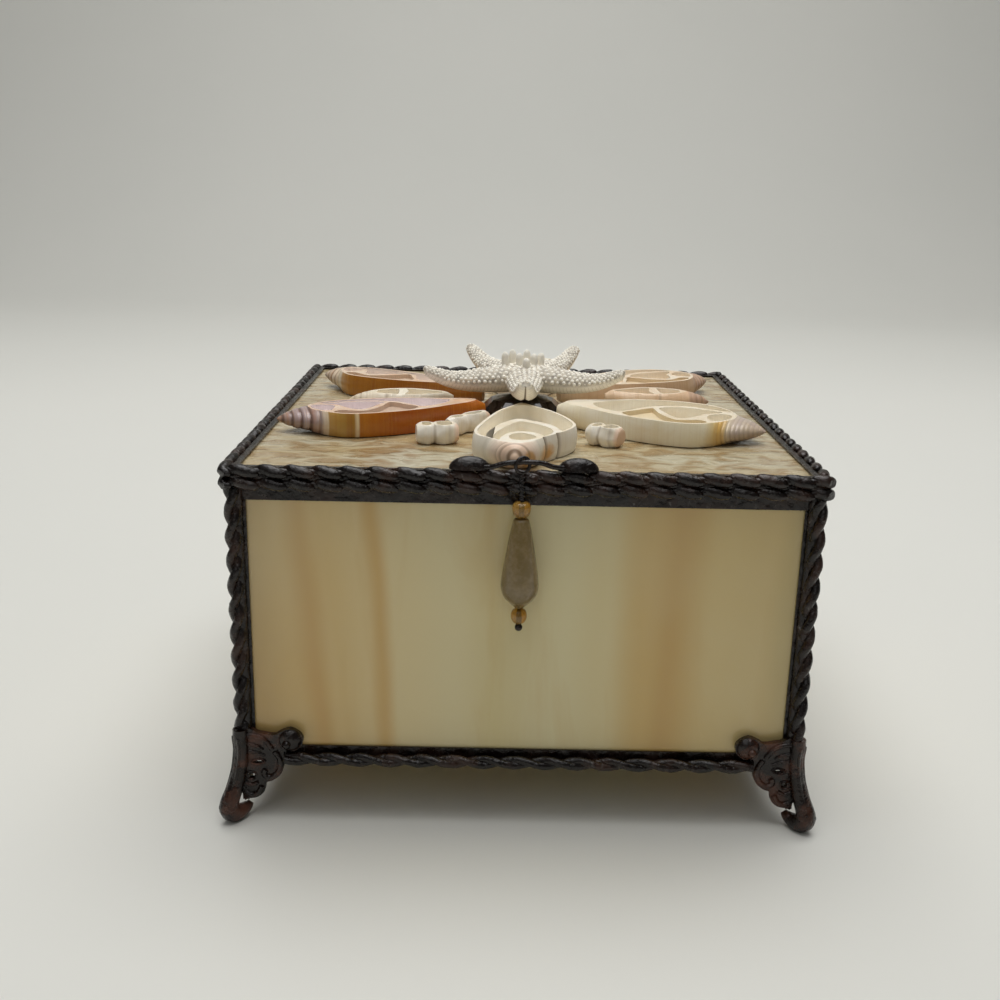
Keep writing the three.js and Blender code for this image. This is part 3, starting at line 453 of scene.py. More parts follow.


# "wall" runs from the inner end to the tip; "groove" is painted shade for the creases
shellSettings = {
    "amberShell": {
        "rough": 0.26, "coat": 0.35, "fine": 110.0, "coarse": 26.0, "grooveShadeAmount": 0.75,
        "wall": [(0.0, (176, 98, 22)), (0.2, (176, 92, 8)), (0.45, (172, 86, 3)), (0.6, (190, 112, 20)),
                 (0.655, (192, 122, 34)), (0.661, (236, 214, 170)), (0.673, (234, 210, 164)),
                 (0.68, (172, 128, 50)), (0.76, (192, 150, 76)), (0.785, (196, 158, 94)),
                 (0.79, (234, 216, 184)), (0.803, (228, 210, 186)), (0.815, (186, 168, 160)),
                 (0.9, (170, 152, 152)), (1.0, (178, 146, 124))],
        "band": (156, 74, 3), "line": (196, 132, 42), "stain": (194, 124, 28), "groove": (84, 60, 48),
        "rim": (236, 206, 178), "rimWarm": (226, 178, 140), "inner": (250, 240, 238),
        "floor": (246, 232, 230),
        "shelf": (216, 190, 168),
    },
    "amberShellBack": {
        "rough": 0.28, "coat": 0.3, "fine": 100.0, "coarse": 20.0, "grooveShadeAmount": 0.7,
        "wall": [(0.0, (150, 92, 30)), (0.4, (166, 100, 20)), (0.7, (184, 124, 40)),
                 (0.775, (202, 156, 92)), (0.79, (236, 220, 190)), (0.9, (226, 206, 180)),
                 (1.0, (200, 168, 140))],
        "band": (146, 78, 14), "line": (202, 150, 70), "stain": (188, 128, 44), "groove": (132, 96, 66),
        "rim": (236, 210, 180), "rimWarm": (226, 182, 142), "inner": (250, 240, 232),
        "floor": (244, 228, 214),
        "shelf": (216, 190, 164),
    },
    "ivoryShell": {
        "rough": 0.36, "coat": 0.2, "fine": 70.0, "coarse": 10.0, "grooveShadeAmount": 0.6,
        "wall": [(0.0, (246, 236, 210)), (0.3, (252, 244, 222)), (0.6, (250, 241, 214)),
                 (0.76, (244, 232, 200)), (0.795, (228, 198, 134)), (0.802, (218, 166, 66)),
                 (0.835, (212, 160, 62)), (0.845, (200, 180, 164)), (0.9, (182, 164, 154)),
                 (1.0, (178, 154, 142))],
        "band": (236, 220, 178), "line": (224, 204, 162), "stain": (228, 202, 144), "groove": (112, 96, 88),
        "rim": (242, 230, 206), "rimWarm": (232, 212, 176), "inner": (250, 244, 228),
        "floor": (244, 232, 208),
        "shelf": (232, 214, 178),
    },
    "blushShell": {
        "rough": 0.4, "coat": 0.15, "fine": 60.0, "coarse": 12.0, "grooveShadeAmount": 0.6,
        "wall": [(0.0, (228, 200, 168)), (0.5, (224, 190, 152)), (0.78, (220, 184, 148)),
                 (0.8, (196, 160, 132)), (1.0, (192, 160, 138))],
        "band": (212, 172, 128), "line": (198, 160, 122), "stain": (206, 164, 116),
        "groove": (138, 108, 86),
        "rim": (238, 222, 196), "rimWarm": (228, 200, 166), "inner": (248, 236, 216),
        "floor": (240, 222, 196),
        "shelf": (228, 206, 172),
    },
    "pearlShell": {
        "rough": 0.4, "coat": 0.15, "fine": 60.0, "coarse": 9.0, "grooveShadeAmount": 0.55,
        "wall": [(0.0, (236, 224, 200)), (0.6, (238, 228, 206)), (1.0, (224, 204, 176))],
        "band": (226, 208, 174), "line": (214, 194, 160), "stain": (222, 196, 152),
        "groove": (150, 128, 104),
        "rim": (242, 232, 210), "rimWarm": (232, 216, 184), "inner": (250, 242, 226),
        "floor": (242, 230, 206),
        "shelf": (230, 212, 180),
    },
    "spiralShell": {
        "rough": 0.4, "coat": 0.15, "fine": 50.0, "coarse": 8.0, "grooveShadeAmount": 0.8,
        "wall": [(0.0, (250, 244, 230)), (0.5, (252, 246, 232)), (0.86, (248, 240, 222)),
                 (0.93, (240, 212, 188)), (1.0, (228, 190, 160))],
        "band": (242, 230, 204), "line": (236, 224, 200), "stain": (240, 222, 188),
        "groove": (124, 100, 76),
        "rim": (246, 238, 220), "rimWarm": (238, 222, 192), "inner": (252, 246, 232),
        "floor": (246, 236, 214),
        "shelf": (232, 216, 188),
        "patches": [((8.5, -66, 103.4), 5.0, (222, 162, 74)), ((0.4, -72, 104.2), 2.6, (216, 164, 96))],
    },
}
shellSkins = {name: shellMaterial(name, values) for name, values in shellSettings.items()}


def starfishMaterial(settings):
    # "raised" is 0 in a pit and 1 on a knob; "plate" counts the distance along an arm's smooth lower edge
    material, tree, shader = newMaterial("starfishSkin", {"Roughness": 0.75})
    raised = newNode(tree, "ShaderNodeAttribute", attribute_name="raised").outputs["Fac"]
    plate = newNode(tree, "ShaderNodeAttribute", attribute_name="plate").outputs["Fac"]
    grain = noise(tree, objectPlace(tree), 900.0, 4, 0.6)
    pits = noise(tree, objectPlace(tree), 620.0, 2, 0.5)
    # painted shade: the skin between the knobs and the pits in it are darker than the white knobs
    hollow = blend(tree, grey(tree, pits, 0.35, 0.6), tone(*settings["pit"]), tone(*settings["hollow"]))
    colour = blend(tree, grey(tree, raised, 0.1, 0.95), hollow, tone(*settings["white"]))
    colour = blend(tree, grey(tree, grain, 0.5, 0.8, 0, 0.4), colour, tone(*settings["cream"]))
    seam = grey(tree, maths(tree, "PINGPONG", plate, 0.55), 0.0, 0.12, 1, 0)
    seam = maths(tree, "MULTIPLY", seam, grey(tree, plate, 0.9, 1.1, 0, 0.6))
    colour = blend(tree, seam, colour, tone(*settings["hollow"]))
    groove = newNode(tree, "ShaderNodeAttribute", attribute_name="groove").outputs["Fac"]
    colour = blend(tree, grey(tree, groove, 0.6, 0.85), colour, tone(*settings["pit"]))
    tree.links.new(colour, shader.inputs["Base Color"])
    bumpInto(tree, shader, grain, 0.5, 0.0004)
    return material


def beadMaterial(name, base, through, rough, cloud, grain):
    material, tree, shader = newMaterial(name, {
        "Roughness": rough, "IOR": 1.5, "Transmission Weight": through, "Coat Weight": 0.3})
    mask = noise(tree, objectPlace(tree), grain, 5, 0.65, 0.3)
    colour = blend(tree, grey(tree, mask, 0.42, 0.68), tone(*base), tone(*cloud))
    tree.links.new(colour, shader.inputs["Base Color"])
    bumpInto(tree, shader, noise(tree, objectPlace(tree), 260.0, 2, 0.5), 0.3, 0.0006)
    return material


starfishSkin = starfishMaterial({
    "white": (253, 248, 235), "cream": (244, 236, 216), "hollow": (186, 174, 154), "pit": (112, 100, 86)})
amberBeadSkin = beadMaterial("amberBeadSkin", (206, 152, 58), 0.7, 0.06, (226, 184, 104), 300.0)
smokyBeadSkin = beadMaterial("smokyBeadSkin", (138, 118, 76), 0.35, 0.14, (160, 138, 100), 520.0)


def hubMaterial():
    material, tree, shader = newMaterial("hubSkin", {"Roughness": 0.22, "Coat Weight": 0.5})
    specks = newNode(tree, "ShaderNodeTexVoronoi", {
        "Vector": objectPlace(tree), "Scale": 420.0}).outputs["Distance"]
    mask = maths(tree, "MULTIPLY", grey(tree, specks, 0.1, 0.18, 1, 0), grey(tree, noise(
        tree, objectPlace(tree), 200.0, 2, 0.5), 0.52, 0.6))
    colour = blend(tree, mask, tone(34, 24, 22), tone(214, 208, 200))
    tree.links.new(colour, shader.inputs["Base Color"])
    bumpInto(tree, shader, noise(tree, objectPlace(tree), 240.0, 3, 0.5), 0.6, 0.0006)
    return material


hubSkin = hubMaterial()
print("materials made")


# CAD nodes that keep their shape

def dressNodes():
    dressed = {
        "front_glass": frontSlag, "back_glass": backSlag, "left_glass": leftSlag, "right_glass": rightSlag,
        "base_glass": backSlag, "lid_glass": lidGlassSkin, "hub": hubSkin,
    }
    for name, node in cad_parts.items():
        material = dressed.get(name)
        if material is None and "seam" in name:
            material = solderSkin
        if material is None:
            material = wireSkin
        node.data.materials.clear()
        node.data.materials.append(material)


dressNodes()


cornerNames = ("front_right", "back_right", "back_left", "front_left")
glassCorner = Matrix.Translation((74.6, -74.6, 0))  # outer corner of the side glass, front right

# Twisted wire trims: two strands wound round each other, flooded with solder
wireSettings = {
    "corner": {"across": 4.2, "out": 2.25, "lobe": 6.6, "low": 27.55, "high": 96.35, "fillOut": 1.15,
               "fill": 1.35},
    "bottom": {"across": 3.6, "lobe": 8.4, "half": 65.05, "away": 77.5, "z": 18.6},
    "lid": {"across": 3.15, "lobe": 7.2, "away": 78.45, "corner": 1.75, "upper": 101.45, "lower": 98.2,
            "fillAway": 77.75, "fillZ": 99.83, "fill": 1.25},
    "strand": 0.285, "offset": 0.215, "lumps": 0.26, "lumpSize": 0.6, "core": 0.34, "tilt": 11,
    "overlap": 0.6,
}


def sweepStrand(bm, length, radius, offset, turns, steps, sides=12):
    matrix = Matrix.Translation((0, offset, 0)) @ Matrix.Rotation(math.pi / 2, 4, "Y")
    ring = bmesh.ops.create_circle(bm, cap_ends=False, segments=sides, radius=radius,
                                   matrix=matrix)["verts"]
    edges = [e for e in bm.edges if e.verts[0] in ring and e.verts[1] in ring]
    bmesh.ops.spin(bm, geom=ring + edges, cent=(0, 0, 0), axis=(1, 0, 0), dvec=(length / steps, 0, 0),
                   angle=turns * math.pi, steps=steps, use_merge=False, use_duplicate=False)


def twistStrands(bm, length, across, lobes, settings):
    # one crossing of the two strands, laid end to end along the wire
    unit = bmesh.new()
    for side in (1, -1):
        sweepStrand(unit, length / lobes, across * settings["strand"], side * across * settings["offset"],
                    1, 8)
    crossing = bpy.data.meshes.new("crossing")
    unit.to_mesh(crossing)
    unit.free()
    for _ in range(lobes):
        bm.from_mesh(crossing)
        crossing.transform(Matrix.Translation((length / lobes, 0, 0)))
    bpy.data.meshes.remove(crossing)
    bmesh.ops.remove_doubles(bm, verts=list(bm.verts), dist=0.01)


def lensChain(bm, length, across, lobes, settings):
    # wire so flooded with solder that each crossing is one lens shaped lump
    unit = bmesh.new()
    step = length / lobes
    tilt = math.radians(settings["tilt"])
    leaning = Matrix.Rotation(tilt, 4, "Y") @ Matrix.Rotation(tilt, 4, "Z")
    lens = Matrix.Diagonal((step * settings["overlap"], across / 2, across / 2, 1))
    sweepStrand(unit, step, across * settings["core"], 0, 0, 4)
    bmesh.ops.create_uvsphere(unit, u_segments=14, v_segments=10, radius=1.0,
                              matrix=Matrix.Translation((step / 2, 0, 0)) @ leaning @ lens)
    lump = bpy.data.meshes.new("lump")
    unit.to_mesh(lump)
    unit.free()
    for _ in range(lobes):
        bm.from_mesh(lump)
        lump.transform(Matrix.Translation((step, 0, 0)))
    bpy.data.meshes.remove(lump)


def capEnds(bm):
    bmesh.ops.holes_fill(bm, edges=[e for e in bm.edges if e.is_boundary], sides=0)


def roughen(bm, depth, size):
    # sinks the skin here and there, as flowed solder does
    bm.normal_update()
    for vert in bm.verts:
        vert.co -= vert.normal * depth * (0.5 + 0.5 * field.noise(vert.co * size))


def bendRound(bm, away, corner):
    # wraps a straight wire round a square with rounded corners, starting at the front left corner
    flat = 2 * (away - corner)
    arc = corner * math.pi / 2
    side = flat + arc
    for vert in bm.verts:
        s = vert.co.x % (4 * side)
        quarter, along = divmod(s, side)
        out = vert.co.y
        if along < flat:
            spot = Vector((along - flat / 2, -away - out))
        else:
            angle = (along - flat) / corner
            radius = corner + out
            spot = Vector((flat / 2 + math.sin(angle) * radius, -flat / 2 - math.cos(angle) * radius))
        spot.rotate(Matrix.Rotation(quarter * math.pi / 2, 2))
        vert.co = (spot.x, spot.y, vert.co.z)
    bmesh.ops.remove_doubles(bm, verts=list(bm.verts), dist=0.02)


def addWires(settings):
    values = settings["corner"]
    for turn, name in enumerate(cornerNames):
        bm = bmesh.new()
        length = values["high"] - values["low"]
        twistStrands(bm, length, values["across"], round(length / values["lobe"]), settings)
        capEnds(bm)
        place(bm, Matrix.Translation((values["out"], -values["out"], values["low"]))
              @ Matrix.Rotation(-math.pi / 2, 4, "Y"))
        fill = values["fillOut"]
        path = [(fill, -fill, values["low"] + length * i / 60) for i in range(61)]
        rodAlong(bm, path, (values["fill"], values["fill"]), sides=12, upright=(0, 1, 0))
        roughen(bm, settings["lumps"], settings["lumpSize"])
        place(bm, Matrix.Rotation(turn * math.pi / 2, 4, "Z") @ glassCorner)
        addPiece(f"corner_twist_{name}", bm, wireSkin, [f"corner_wire_{name}"])
    values = settings["bottom"]
    for turn, name in enumerate(("front", "right", "back", "left")):
        bm = bmesh.new()
        length = 2 * values["half"]
        twistStrands(bm, length, values["across"], round(length / values["lobe"]), settings)
        capEnds(bm)
        roughen(bm, settings["lumps"], settings["lumpSize"])
        place(bm, Matrix.Rotation(turn * math.pi / 2, 4, "Z")
              @ Matrix.Translation((-values["half"], -values["away"], values["z"])))
        addPiece(f"bottom_twist_{name}", bm, wireSkin, [f"bottom_wire_{name}"])
    values = settings["lid"]
    around = 8 * (values["away"] - values["corner"]) + 2 * math.pi * values["corner"]
    for level in ("upper", "lower"):
        bm = bmesh.new()
        lensChain(bm, around, values["across"], round(around / values["lobe"]), settings)
        bendRound(bm, values["away"], values["corner"])
        if level == "lower":
            flood = bmesh.new()
            inner = 8 * (values["fillAway"] - values["corner"]) + 2 * math.pi * values["corner"]
            sweepStrand(flood, inner, values["fill"], 0, 0, 240)
            bendRound(flood, values["fillAway"], values["corner"])
            place(flood, Matrix.Translation((0, 0, values["fillZ"] - values["lower"])))
            joinInto(bm, flood)
        roughen(bm, settings["lumps"], settings["lumpSize"])
        place(bm, Matrix.Translation((0, 0, values[level])))
        replaced = [f"lid_{level}_wire_{name}" for name in ("front", "right", "back", "left")]
        addPiece(f"lid_twist_{level}", bm, wireSkin, replaced)


addWires(wireSettings)
print("wires made")


# Cast feet, shaped at the front right corner of the glass and turned to the others
footSettings = {
    "leg": [(0, 27.4, 2.1), (0, 24.5, 2.15), (-0.1, 21, 2.05), (0.5, 15.5, 2.1), (1.7, 10.5, 2.35),
            (3.0, 6.6, 2.6), (3.3, 4.2, 2.75), (2.2, 2.45, 2.6), (0.4, 2.3, 2.1), (-1.0, 3.0, 1.5),
            (-1.7, 3.8, 0.9)],
    "legStart": 2.75, "flutes": (-1.1, 0, 1.1), "fluteRadius": 0.5, "fluteSpread": 0.7, "fluteOut": 0.52,
    "face": 1.1, "thick": 1.8,
    "wing": [(2.6, 26.8), (-2, 26.3), (-6.4, 25.6), (-8, 26.4), (-11, 27.5), (-14.1, 25.6), (-14.3, 22.9),
             (-12, 20.9), (-9.4, 20.9), (-9.0, 18.6), (-8.9, 15.6), (-7.8, 13.2), (-5.6, 11.5),
             (-3.9, 10.8), (-3.4, 8.2), (-1.4, 6.3), (1.2, 5.9), (2.6, 7)],
    "eyes": [[(-3.9, 17.6), (-2.4, 18.2), (-0.4, 17.7), (-0.3, 16.9), (-2.2, 16.6)],
             [(-1.0, 13.9), (0.8, 14.2), (1.5, 13.4), (0.7, 12.1), (-0.8, 12.2)]],
    "ribs": [([(1.2, 25.6), (-1.2, 25.4), (-3.6, 24.4), (-5, 22.8), (-5.9, 21.2)], 0.75),
             ([(0.8, 22.8), (-1.6, 22.2), (-3.4, 21)], 0.55),
             ([(0.6, 20.6), (-1.8, 20.2), (-4, 19.2)], 0.5),
             ([(-6.6, 20.6), (-7.9, 18.4), (-8.0, 15.8), (-6.9, 13.7), (-4.9, 12.6), (-3.4, 13.6),
               (-3.9, 15)], 0.85),
             ([(-2.6, 9.8), (-1.7, 7.9), (0.2, 7.0), (1.8, 7.6)], 0.8),
             ([(-1.6, 11), (0.2, 10.2), (1.9, 10.8)], 0.6)],
    "knob": (-11, 24.1, 3.35),
}


def addFeet(settings):
    for turn, name in enumerate(cornerNames):
        bm = bmesh.new()
        stations = curveThrough([(settings["legStart"] + o, z, r) for o, z, r in settings["leg"]], 4)
        path = [(s[0], -s[0], s[1]) for s in stations]
        rodAlong(bm, path, [(s[2], s[2]) for s in stations], sides=12, upright=(0.7071, 0.7071, 0))
        for side in settings["flutes"]:
            aside = side * settings["fluteSpread"]
            line = []
            for out, high, radius in stations[3:24]:
                reach = out + radius * settings["fluteOut"]
                line.append((reach + aside, -reach + aside, high))
            rodAlong(bm, line, (settings["fluteRadius"],) * 2, sides=6, upright=(0.7071, 0.7071, 0))
        wing = bmesh.new()
        outline = curveThrough(settings["wing"], 3, closed=True)
        eyes = [curveThrough(eye, 3, closed=True) for eye in settings["eyes"]]
        plateFrom(wing, [outline, *eyes], 0, settings["thick"])
        for points, radius in settings["ribs"]:
            line = curveThrough([(x, z, settings["thick"]) for x, z in points], 4)
            rodAlong(wing, line, (radius, radius * 0.9), sides=8)
        for eye in eyes:
            rodAlong(wing, [(p[0], p[1], settings["thick"]) for p in eye], (0.35, 0.4), sides=6,
                     closed=True)
        knobX, knobZ, knobRadius = settings["knob"]
        seat = Matrix.Translation((knobX, knobZ, settings["thick"] * 0.7))
        bmesh.ops.create_uvsphere(wing, u_segments=18, v_segments=12, radius=knobRadius,
                                  matrix=seat @ Matrix.Diagonal((1, 1, 0.62, 1)))
        bmesh.ops.create_uvsphere(wing, u_segments=10, v_segments=6, radius=1.3, matrix=Matrix.Translation(
            (knobX + 0.8, knobZ - 0.6, settings["thick"] + 1.3)))
        place(wing, Matrix.Translation((0, -settings["face"], 0)) @ Matrix.Rotation(math.pi / 2, 4, "X"))
        mirror = Matrix(((0, -1, 0, 0), (-1, 0, 0, 0), (0, 0, 1, 0), (0, 0, 0, 1)))
        for flip in (Matrix.Identity(4), mirror):
            copied = wing.copy()
            place(copied, flip)
            joinInto(bm, copied)
        wing.free()
        cut = bmesh.ops.bisect_plane(bm, geom=list(bm.verts) + list(bm.edges) + list(bm.faces), dist=1e-5,
                                     plane_co=(0, 0, 0.02), plane_no=(0, 0, 1), clear_inner=True)
        bmesh.ops.holes_fill(bm, edges=openEdges(cut["geom_cut"]), sides=0)
        place(bm, Matrix.Rotation(turn * math.pi / 2, 4, "Z") @ glassCorner)
        foot = addPiece(f"cast_foot_{name}", bm, castSkin, [f"foot_{name}"], sharp=50)
        roundEdges(foot, 0.22, 60)


addFeet(footSettings)
print("feet made")


# Sliced shells. Places are shares of a slice's length, widths shares of its half width on that side.
# "lift" is the half height there in shares of half the slab, so under 1 the shell stays whole and round.
# A chamber is its loop, its depth as a share of the slab, and what its floor is: 3 shaded, 4 a pale shelf.
sliceShapes = {
    "spindle": {
        "profile": [(0, 0.1, 0.1), (0.07, 0.32, 0.32), (0.2, 0.54, 0.54), (0.35, 0.82, 0.8),
                    (0.5, 0.98, 0.95), (0.62, 0.98, 1.0), (0.72, 0.88, 0.95), (0.81, 0.66, 0.7),
                    (0.86, 0.54, 0.56), (0.92, 0.35, 0.36), (0.97, 0.15, 0.16), (1, 0.02, 0.02)],
        "lift": [(0, 0.6), (0.05, 1.05), (0.1, 1.5), (0.2, 2.2), (0.3, 3.2), (0.45, 4), (0.65, 4),
                 (0.76, 2.5), (0.82, 1.5), (0.855, 1.08), (0.875, 0.96), (0.92, 0.78), (0.97, 0.42),
                 (1, 0.06)],
        "wall": 0.95, "ridgeFrom": 0.8, "notches": [],
        "chambers": [
            ([(0.17, 0.05), (0.2, 0.2), (0.27, 0.5), (0.36, 0.8), (0.48, 1), (0.6, 1), (0.7, 0.95),
              (0.78, 0.7), (0.815, 0.42), (0.76, 0.44), (0.69, 0.5), (0.62, 0.54), (0.55, 0.49),
              (0.48, 0.33), (0.42, 0.08), (0.385, -0.2), (0.34, -0.46), (0.28, -0.42),
              (0.21, -0.22)], 0.55, 3),
            ([(0.49, 0.13), (0.52, 0.3), (0.58, 0.42), (0.66, 0.41), (0.73, 0.36), (0.785, 0.3),
              (0.755, 0.14), (0.715, 0), (0.695, -0.22), (0.665, -0.46), (0.625, -0.54), (0.585, -0.42),
              (0.535, -0.16)], 0.5, 3),
            ([(0.735, -0.08), (0.765, 0.08), (0.8, 0.17), (0.835, 0.1), (0.845, -0.12), (0.825, -0.36),
              (0.79, -0.5), (0.755, -0.42)], 0.45, 3),
            ([(0.36, -0.56), (0.405, -0.22), (0.455, 0.08), (0.475, 0.02), (0.52, -0.3), (0.575, -0.56),
              (0.625, -0.7), (0.68, -0.62), (0.72, -0.54), (0.76, -0.64), (0.74, -0.8), (0.66, -0.92),
              (0.55, -0.92), (0.44, -0.82)], 0.2, 4),
        ],
    },
    "spiral": {
        "profile": [(0, 0.05, 0.05), (0.1, 0.34, 0.22), (0.21, 0.67, 0.42), (0.36, 0.95, 0.58),
                    (0.52, 1.1, 0.71), (0.64, 0.96, 0.79), (0.72, 0.76, 0.81), (0.8, 0.56, 0.76),
                    (0.86, 0.46, 0.56), (0.9, 0.4, 0.45), (0.95, 0.25, 0.27), (1, 0.03, 0.03)],
        "lift": [(0, 0.8), (0.05, 1.5), (0.1, 2.2), (0.2, 3), (0.4, 4), (0.6, 4), (0.75, 3), (0.86, 1.8),
                 (0.92, 1.2), (0.95, 0.97), (0.975, 0.7), (1, 0.12)],
        "wall": 0.9, "ridgeFrom": 0.93,
        "notches": [(0.715, 1), (0.805, 1), (0.875, 1), (0.86, -1), (0.925, -1), (0.33, 0), (0.5, 0)],
        "chambers": [
            ([(0.08, 0.02), (0.13, 0.32), (0.21, 0.62), (0.36, 0.95), (0.5, 1.1), (0.6, 1.02),
              (0.665, 0.86), (0.64, 0.77), (0.58, 0.69), (0.51, 0.52), (0.455, 0.25), (0.42, -0.03),
              (0.53, -0.3), (0.64, -0.44), (0.75, -0.53), (0.84, -0.54), (0.86, -0.62), (0.8, -0.78),
              (0.72, -0.82), (0.6, -0.8), (0.45, -0.68), (0.3, -0.54), (0.17, -0.34)], 0.62, 3),
            ([(0.48, 0.02), (0.51, 0.24), (0.56, 0.46), (0.62, 0.6), (0.69, 0.65), (0.76, 0.57),
              (0.79, 0.5), (0.75, 0.41), (0.71, 0.26), (0.7, 0.02), (0.75, -0.16), (0.82, -0.26),
              (0.88, -0.29), (0.885, -0.36), (0.83, -0.41), (0.74, -0.37), (0.64, -0.27),
              (0.55, -0.13)], 0.55, 3),
            ([(0.735, 0.06), (0.75, 0.22), (0.79, 0.33), (0.83, 0.34), (0.865, 0.24), (0.88, 0.08),
              (0.865, -0.08), (0.82, -0.13), (0.77, -0.1)], 0.45, 3),
        ],
    },
    "cone": {
        "profile": [(0, 0.25, 0.25), (0.15, 0.7, 0.7), (0.4, 1, 1), (0.6, 0.92, 0.92), (0.8, 0.55, 0.55),
                    (0.92, 0.26, 0.26), (1, 0.03, 0.03)],
        "lift": [(0, 0.7), (0.08, 1.05), (0.2, 1.25), (0.4, 1.7), (0.6, 1.5), (0.76, 1.05), (0.82, 0.92),
                 (0.92, 0.6), (1, 0.06)],
        "wall": 0.9, "ridgeFrom": 0.78, "notches": [(0.62, 1), (0.5, -1)],
        "chambers": [
            ([(0.1, 0), (0.2, 0.6), (0.34, 0.95), (0.45, 0.8), (0.42, -0.1), (0.45, -0.8), (0.34, -0.95),
              (0.2, -0.6)], 0.6, 3),
            ([(0.51, 0), (0.53, 0.8), (0.64, 0.8), (0.72, 0.1), (0.66, -0.7), (0.54, -0.8)], 0.5, 3),
        ],
    },
    "chip": {
        "profile": [(0, 0.72, 0.72), (0.12, 0.95, 0.9), (0.25, 1, 1), (0.4, 0.86, 0.84), (0.55, 0.96, 0.92),
                    (0.7, 0.93, 0.95), (0.85, 0.78, 0.8), (1, 0.7, 0.7)],
        "lift": [(0, 0.85), (0.1, 1.15), (0.25, 1.5), (0.42, 1.15), (0.6, 1.7), (0.82, 1.4), (0.94, 1.05),
                 (1, 0.8)],
        "wall": 0.55, "ridgeFrom": 1.0, "notches": [(0.42, 1), (0.44, -1), (0.82, 1), (0.8, -1)],
        "chambers": [([(0.49, 0.05), (0.54, 0.9), (0.7, 0.9), (0.85, 0.5), (0.83, -0.6), (0.7, -0.9),
                       (0.55, -0.9)], 0.6, 3),
                     ([(0.13, 0), (0.18, 0.6), (0.3, 0.7), (0.36, 0), (0.3, -0.7), (0.18, -0.6)], 0.4, 3)],
    },
}
sliceSettings = [
    {"name": "shell_front_right", "shape": "spindle", "from": (11, -13), "to": (70.6, -37), "left": 16.8,
     "right": 16.3, "tall": 7, "skin": "ivoryShell", "slot": "white_shell", "ridges": 0.5, "pitch": 1.15},
    {"name": "shell_back_right", "shape": "spindle", "from": (12.5, 14), "to": (67.5, 47), "left": 14,
     "right": 12.5, "tall": 7, "skin": "blushShell", "slot": "white_shell", "ridges": 1.0, "pitch": 2.4},
    {"name": "shell_front_left", "shape": "spindle", "from": (-12, -13), "to": (-73, -32.5), "left": 14.6,
     "right": 8.2, "tall": 7, "skin": "amberShell", "slot": "amber_shell", "ridges": 1.1, "pitch": 2.5,
     "flip": True},
    {"name": "shell_back_left", "shape": "spindle", "from": (-12.5, 12), "to": (-70, 44), "left": 12.6,
     "right": 5.4, "tall": 7, "skin": "amberShellBack", "slot": "amber_shell", "ridges": 1.1, "pitch": 2.6,
     "flip": True},
    {"name": "spiral_front", "shape": "spiral", "from": (-0.5, -17.5), "to": (-3.2, -75.2), "left": 15.2,
     "right": 15.2, "tall": 7, "skin": "spiralShell", "slot": "white_shell", "ridges": 1.2, "pitch": 2.0},
    {"name": "spiral_back", "shape": "spiral", "from": (1, 17.5), "to": (8, 73.5), "left": 15, "right": 15,
     "tall": 7, "skin": "spiralShell", "slot": "white_shell", "ridges": 1.2, "pitch": 2.0},
    {"name": "shell_right", "shape": "cone", "from": (27, 5), "to": (61.5, 7), "left": 7.5, "right": 7.5,
     "tall": 7, "skin": "blushShell", "slot": "white_shell", "ridges": 0.8, "pitch": 2.0},
    {"name": "shell_left", "shape": "cone", "from": (-22, -3.2), "to": (-56, -4.2), "left": 7, "right": 7,
     "tall": 7, "skin": "pearlShell", "slot": "white_shell", "ridges": 0.8, "pitch": 2.0},
    {"name": "chip_front_left", "shape": "chip", "from": (-31, -44), "to": (-19.2, -42.1), "left": 4.1,
     "right": 4.1, "tall": 5.5, "skin": "spiralShell", "slot": "white_shell", "ridges": 0, "pitch": 1},
    {"name": "chip_inner_left", "shape": "chip", "from": (-22.5, -34.6), "to": (-11.2, -21.5), "left": 2.5,
     "right": 2.5, "tall": 5.2, "skin": "spiralShell", "slot": "white_shell", "ridges": 0, "pitch": 1},
    {"name": "chip_front_right", "shape": "chip", "from": (18.9, -39.2), "to": (27.6, -44.9), "left": 3.9,
     "right": 3.9, "tall": 5.5, "skin": "spiralShell", "slot": "white_shell", "ridges": 0, "pitch": 1},
]
ornamentBase = 101.76
sliceWork = {"sides": 36, "step": 0.9, "fineStep": 0.24, "notchWidth": 0.35, "grooveIn": 0.07,
             "grooveDown": 0.05}


def valuesAt(line, share):
    # straight-line reading of smoothed points, each a place and two values
    for a, b in zip(line, line[1:]):
        if share <= b[0]:
            t = max(0.0, (share - a[0]) / max(b[0] - a[0], 1e-9))
            return a[1] + (b[1] - a[1]) * t, a[2] + (b[2] - a[2]) * t
    return line[-1][1], line[-1][2]


